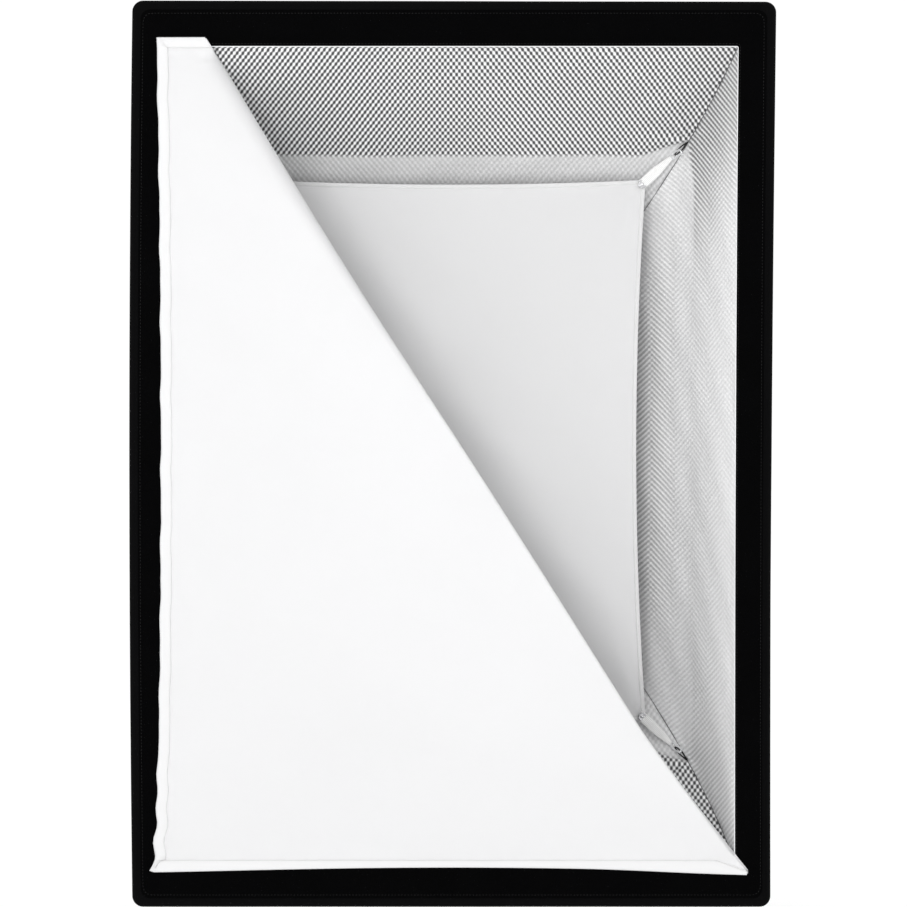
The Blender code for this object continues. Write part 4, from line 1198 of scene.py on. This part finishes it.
def flap_start(share, reach):
    """Where a point of the flap starts: rolled over the fold, then turned back inside the box."""
    fold_x, fold_z = fold_point(share * FOLD_LENGTH)
    radius = fold_radius(share, fold_z)
    quarter = radius * math.pi / 2         # cloth taken up by a quarter turn over the fold
    if reach < quarter:
        angle = reach / radius
        offset, depth = radius * (1 - math.cos(angle)), radius * (1 + math.sin(angle))
    else:
        offset, depth = radius + reach - quarter, 2 * radius + 0.03 * (reach - quarter)
    x = fold_x - FOLD_ACROSS.x * offset
    z = fold_z - FOLD_ACROSS.y * offset
    beyond = TUCK_X - x
    if beyond > 0:
        half_turn = math.pi * TUCK_RADIUS
        if beyond < half_turn:
            x = TUCK_X - TUCK_RADIUS * math.sin(beyond / TUCK_RADIUS)
            depth += TUCK_RADIUS * (1 - math.cos(beyond / TUCK_RADIUS))
        else:
            x = TUCK_X + beyond - half_turn
            depth += 2 * TUCK_RADIUS + 0.06 * (beyond - half_turn)
    inside = SHEET_DEPTH + fold_lean(share, fold_z) + fold_stack(fold_z) + depth
    return at(x, z, inside + (min(inside, -0.0026) - inside) * over_lip(z))


def slab(name, near, far):
    """A wide flat wall between two depths."""
    shape = bmesh.new()
    bmesh.ops.create_cube(shape, size=1.0)
    low, high = at(-0.5, -0.6, near), at(0.5, 0.6, far)
    place = Matrix.Translation((high + low) / 2) @ Matrix.Diagonal((*(high - low), 1))
    bmesh.ops.transform(shape, matrix=place, verts=shape.verts)
    return bmesh_object(name, shape)


def wall_slab(name, side):
    """A thick leaning wall just inside one panel of the lining."""
    shape = bmesh.new()
    rows = []
    across, out = (Vector(direction) for direction in SIDES[side])
    for depth in (-0.02, 0.02, 0.07, 0.12, 0.17):
        near = line_at_depth(LINING_LINE, max(depth, 0.002))[panel_axes(side)[1]] - 0.006
        corners = [out * (near + thick) + across * reach for thick, reach in
                   ((0, -0.6), (0, 0.6), (0.08, 0.6), (0.08, -0.6))]
        rows.append([shape.verts.new(at(corner.x, corner.y, depth)) for corner in corners])
    for low, high in zip(rows, rows[1:]):
        for i in range(4):
            shape.faces.new((low[i], low[(i + 1) % 4], high[(i + 1) % 4], high[i]))
    shape.faces.new(rows[0])
    shape.faces.new(rows[-1])
    return bmesh_object(name, shape)


def hang_flap(flap, pinned):
    """Lets the flap hang under its own weight, held along the fold, inside the walls of the box."""
    walls = [
        slab("front_stop", -0.08, 0.0035),
        slab("baffle_stop", BAFFLE_DEPTH - BAFFLE_GAP, BAFFLE_DEPTH + 0.08),
        wall_slab("floor_stop", "bottom"),
        wall_slab("left_stop", "left"),
        wall_slab("right_stop", "right"),
    ]
    for wall in walls:
        wall.modifiers.new("collision", "COLLISION")
        wall.collision.thickness_outer = 0.002
        wall.collision.cloth_friction = 4.0
    group = flap.vertex_groups.new(name="held")
    group.add(pinned, 1.0, "REPLACE")
    cloth = flap.modifiers.new("cloth", "CLOTH")
    for key, value in FLAP_CLOTH.items():
        setattr(cloth.settings, key, value)
    cloth.settings.vertex_group_mass = "held"
    cloth.collision_settings.distance_min = 0.003
    cloth.collision_settings.collision_quality = 3
    cloth.point_cache.frame_start = 1
    cloth.point_cache.frame_end = FLAP_FRAMES
    scene = bpy.context.scene
    for frame_number in range(1, FLAP_FRAMES + 1):
        scene.frame_set(frame_number)
    graph = bpy.context.evaluated_depsgraph_get()
    mesh = flap.evaluated_get(graph).data
    hung = np.zeros(len(mesh.vertices) * 3)
    mesh.vertices.foreach_get("co", hung)
    scene.frame_set(1)
    for wall in walls:
        bpy.data.objects.remove(wall)
    return hung.reshape(-1, 3)


def flap_grid(shares):
    """The flap's points, one row for each row of the sheet, and how far each lies from the
    fold."""
    rows, reaches = [], []
    for share in shares:
        reach = max(flap_reach(share * FOLD_LENGTH), 0.0005)
        reaches.append([reach * (k + 1) / FLAP_COLUMNS for k in range(FLAP_COLUMNS)])
        rows.append([flap_start(share, r)[:] for r in reaches[-1]])
    grid = np.array(rows)
    count = len(shares)
    flap = new_object("flap_work", grid.reshape(-1, 3), grid_faces(count, FLAP_COLUMNS), None)
    pinned = []
    for i, share in enumerate(shares):
        fold_z = fold_point(share * FOLD_LENGTH)[1]
        roll = fold_radius(share, fold_z) * math.pi / 2
        for k in range(FLAP_COLUMNS):
            if k == 0 or reaches[i][k] < roll or over_lip(fold_z) > 0.3:
                pinned.append(i * FLAP_COLUMNS + k)
    hung = hang_flap(flap, pinned).reshape(count, FLAP_COLUMNS, 3)
    bpy.data.objects.remove(flap)
    return kept_inside(hung, pinned, shares), np.array(reaches)


def kept_inside(hung, pinned, shares):
    """Loose cloth stays between the lip and the baffle, and doesn't show beside the fold."""
    held = np.zeros(hung.shape[:2], bool)
    held.reshape(-1)[pinned] = True
    nearest = FRONT + 0.0045
    farthest = FRONT + BAFFLE_DEPTH - BAFFLE_GAP / 2
    hung[..., 1] = np.where(held, hung[..., 1], np.clip(hung[..., 1], nearest, farthest))
    folds = np.array([fold_point(share * FOLD_LENGTH) for share in shares])
    limit = np.interp(-hung[..., 2], -folds[:, 1], folds[:, 0])
    hung[..., 0] = np.minimum(hung[..., 0], limit - 0.0005)
    return hung


def make_front_diffuser(looks):
    """One sheet: its left half stuck to the tape, its loose corner folded under along a diagonal."""
    shares = np.linspace(0.002, 0.998, FOLD_ROWS + 1)
    front, flat = (np.array(part) for part in zip(*[front_half_row(share) for share in shares]))
    flap, reaches = flap_grid(shares)
    grid = np.concatenate([front, flap], axis=1)
    folds = np.array([fold_point(share * FOLD_LENGTH) for share in shares])
    u = np.concatenate([flat[..., 0], folds[:, 0:1] + FOLD_ACROSS.x * reaches], axis=1)
    v = np.concatenate([flat[..., 1], folds[:, 1:2] + FOLD_ACROSS.y * reaches], axis=1)
    made = grid_object("diffuser_sheet", grid, looks["white"])
    give_cloth_map(made, u, v)
    thicken(made, 0.0005)
    settle(made, "diffusion_fabric", "front_diffuser")
    hem, thread = make_diffuser_hem(looks)


def hem_relief(x, z):
    """The hem follows the sheet, and rises with it towards the ends of the fold."""
    share = (SHEET_HALF[1] - z) / (2 * SHEET_HALF[1])
    to_fold = max(fold_point(share * FOLD_LENGTH)[0] - x, 0) * FOLD_ACROSS.x
    return float(sheet_relief(x, z)) + fold_stack(z) * math.exp(-to_fold / 0.04)


def hem_edges():
    """The outer and inner edge of the hem along the top, left and bottom of the stuck half, in (x, z)."""
    width, top, bottom = HEM_WIDTH, SHEET_HALF[1], -SHEET_HALF[1]
    left_points = [(float(left_edge(z)), z) for z in np.linspace(top - 0.0005, bottom + 0.0005, 150)]
    right_top = fold_point(0)[0] - 0.0006
    outer = [(x, top - 0.0004) for x in np.linspace(right_top, left_points[0][0], 12)[:-1]]
    outer += left_points
    low_end = fold_point(FOLD_LENGTH)[0] - 0.003
    outer += [(x, float(bottom_edge(x))) for x in np.linspace(left_points[-1][0], low_end, 120)[1:]]
    inner = []
    for x, z in outer:
        narrow = width * min(1.0, max((low_end + 0.001 - x) / 0.034, 0.05)) if z < 0 else width
        inner_x = max(x, float(left_edge(z)) + width)
        inner_z = min(max(z, bottom + narrow), top - width)
        if z > top - 0.002 and x > left_points[0][0] + width:
            along_top = (x - left_points[0][0]) / (right_top - left_points[0][0])
            inner_x = x + width * FOLD_ALONG.x / -FOLD_ALONG.y * along_top
        elif z < bottom + 0.006 and x > left_points[0][0] + width:
            inner_x = x
        inner.append((inner_x, inner_z))
    return outer, inner


def make_diffuser_hem(looks):
    """The turned-over hem of the sheet's stuck half, and its stitches."""
    outer, inner = hem_edges()

    def hem_line(share, rise):
        """Points along the hem at a share of its width."""
        line = []
        for (x0, z0), (x1, z1) in zip(outer, inner):
            x, z = x0 + (x1 - x0) * share, z0 + (z1 - z0) * share
            line.append(at(x, z, SHEET_DEPTH + hem_relief(x, z) + rise))
        return line

    grid = np.array([[point[:] for point in hem_line(*station)] for station in HEM_PROFILE])
    hem = grid_object("diffuser_hem", grid, looks["hem"])
    give_cloth_map(hem, *np.meshgrid(row_lengths(grid[0]), np.linspace(0, HEM_WIDTH, len(grid))))
    settle(hem, "diffusion_fabric")
    thread = stitches("diffuser_stitches", [hem_line(0.86, -0.0011)], looks["white_thread"])
    settle(thread, "diffusion_fabric")
    return hem, thread


# ---- carried-over hardware ------------------------------------------------------------------------
def dress_hardware(looks):
    """Materials for the CAD pieces that stay: the first start of a name that fits decides."""
    wanted = {
        "mount_insert": "alloy", "retaining_ring": "steel", "speedring": "black_metal", "rod_socket": "steel",
        "socket_screw": "steel", "rod_tip": "plastic", "corner_pocket": "shell_plain", "rod": "rod",
        "lock_pad": "nylon_pad", "lock_knob": "plastic",
    }
    for name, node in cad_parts.items():
        for start, look in wanted.items():
            if name.startswith(start):
                node.data.materials.clear()
                node.data.materials.append(looks[look])
                break
    for name in ("mount_insert", "speedring", "retaining_ring", "lock_knob"):
        bevel(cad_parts[name], 0.0004)


# ---- stage ------------------------------------------------------------------------------------------
CAMERA_DISTANCE = 3.5          # from the lip's plane
CAMERA_X = 0.0028
CAMERA_HEIGHT = 0.10
SENSOR_WIDTH = 36.0            # millimetres
VIEW_WIDTH = 1.004             # what the frame shows at the lip's plane
VIEW_MIDDLE_Z = 0.0006
FLOOR_Z = -0.62
FLOOR_HALF = 14.0
LIGHT_SIZE = 1.4


def area_light(name, place, power):
    """A square light that faces the middle of the opening."""
    light = bpy.data.lights.new(name, "AREA")
    light.shape = "SQUARE"
    light.size = LIGHT_SIZE
    light.energy = power
    made = link(name, light)
    made.location = place
    towards = Vector((0, FRONT, 0)) - Vector(place)
    made.rotation_euler = towards.to_track_quat("-Z", "Y").to_euler()


def make_stage():
    """The floor, a white surround, two soft lights and the camera."""
    floor_look = Look("pale_floor")
    floor_look.set(Base_Color=floor_look.mix(floor_look.noise(3.0), grey(0.95), grey(0.97)), Roughness=0.9,
                   Emission_Color=grey(1.0), Emission_Strength=0.07)
    corners = [(x * FLOOR_HALF, y * FLOOR_HALF, FLOOR_Z) for x, y in ((-1, -1), (1, -1), (1, 1), (-1, 1))]
    new_object("floor", corners, [(0, 1, 2, 3)], floor_look.material, smooth=False)
    world = bpy.data.worlds.new("studio")
    bpy.context.scene.world = world
    world.use_nodes = True
    sky = world.node_tree.nodes["Background"].inputs
    sky["Color"].default_value = grey(1.0)
    sky["Strength"].default_value = 1.02
    area_light("front_key", (-0.7, -4.3, 0.15), 70)
    area_light("front_fill", (1.2, -4.3, 0.5), 26)
    bpy.context.scene.view_settings.view_transform = "Standard"
    camera_data = bpy.data.cameras.new("camera")
    camera_data.sensor_width = SENSOR_WIDTH
    camera_data.lens = SENSOR_WIDTH * CAMERA_DISTANCE / VIEW_WIDTH
    camera_data.shift_y = (VIEW_MIDDLE_Z - CAMERA_HEIGHT) / VIEW_WIDTH
    camera = link("camera", camera_data)
    camera.location = (CAMERA_X, FRONT - CAMERA_DISTANCE, CAMERA_HEIGHT)
    camera.rotation_euler = (math.radians(90), 0, 0)
    bpy.context.scene.camera = camera


def main():
    looks = make_looks()
    make_stage()
    for side in SIDES:
        make_lining_panel(side, looks["silver"])
        make_shell_panel(side, looks)
    make_lining_trim(looks)
    make_loop_tape(looks, make_lip(looks))
    make_shell_corners(looks)
    make_collar(looks)
    make_baffle(looks)
    for corner, signs in CORNERS.items():
        make_corner_strap(corner, signs, looks)
    make_front_diffuser(looks)
    dress_hardware(looks)


main()
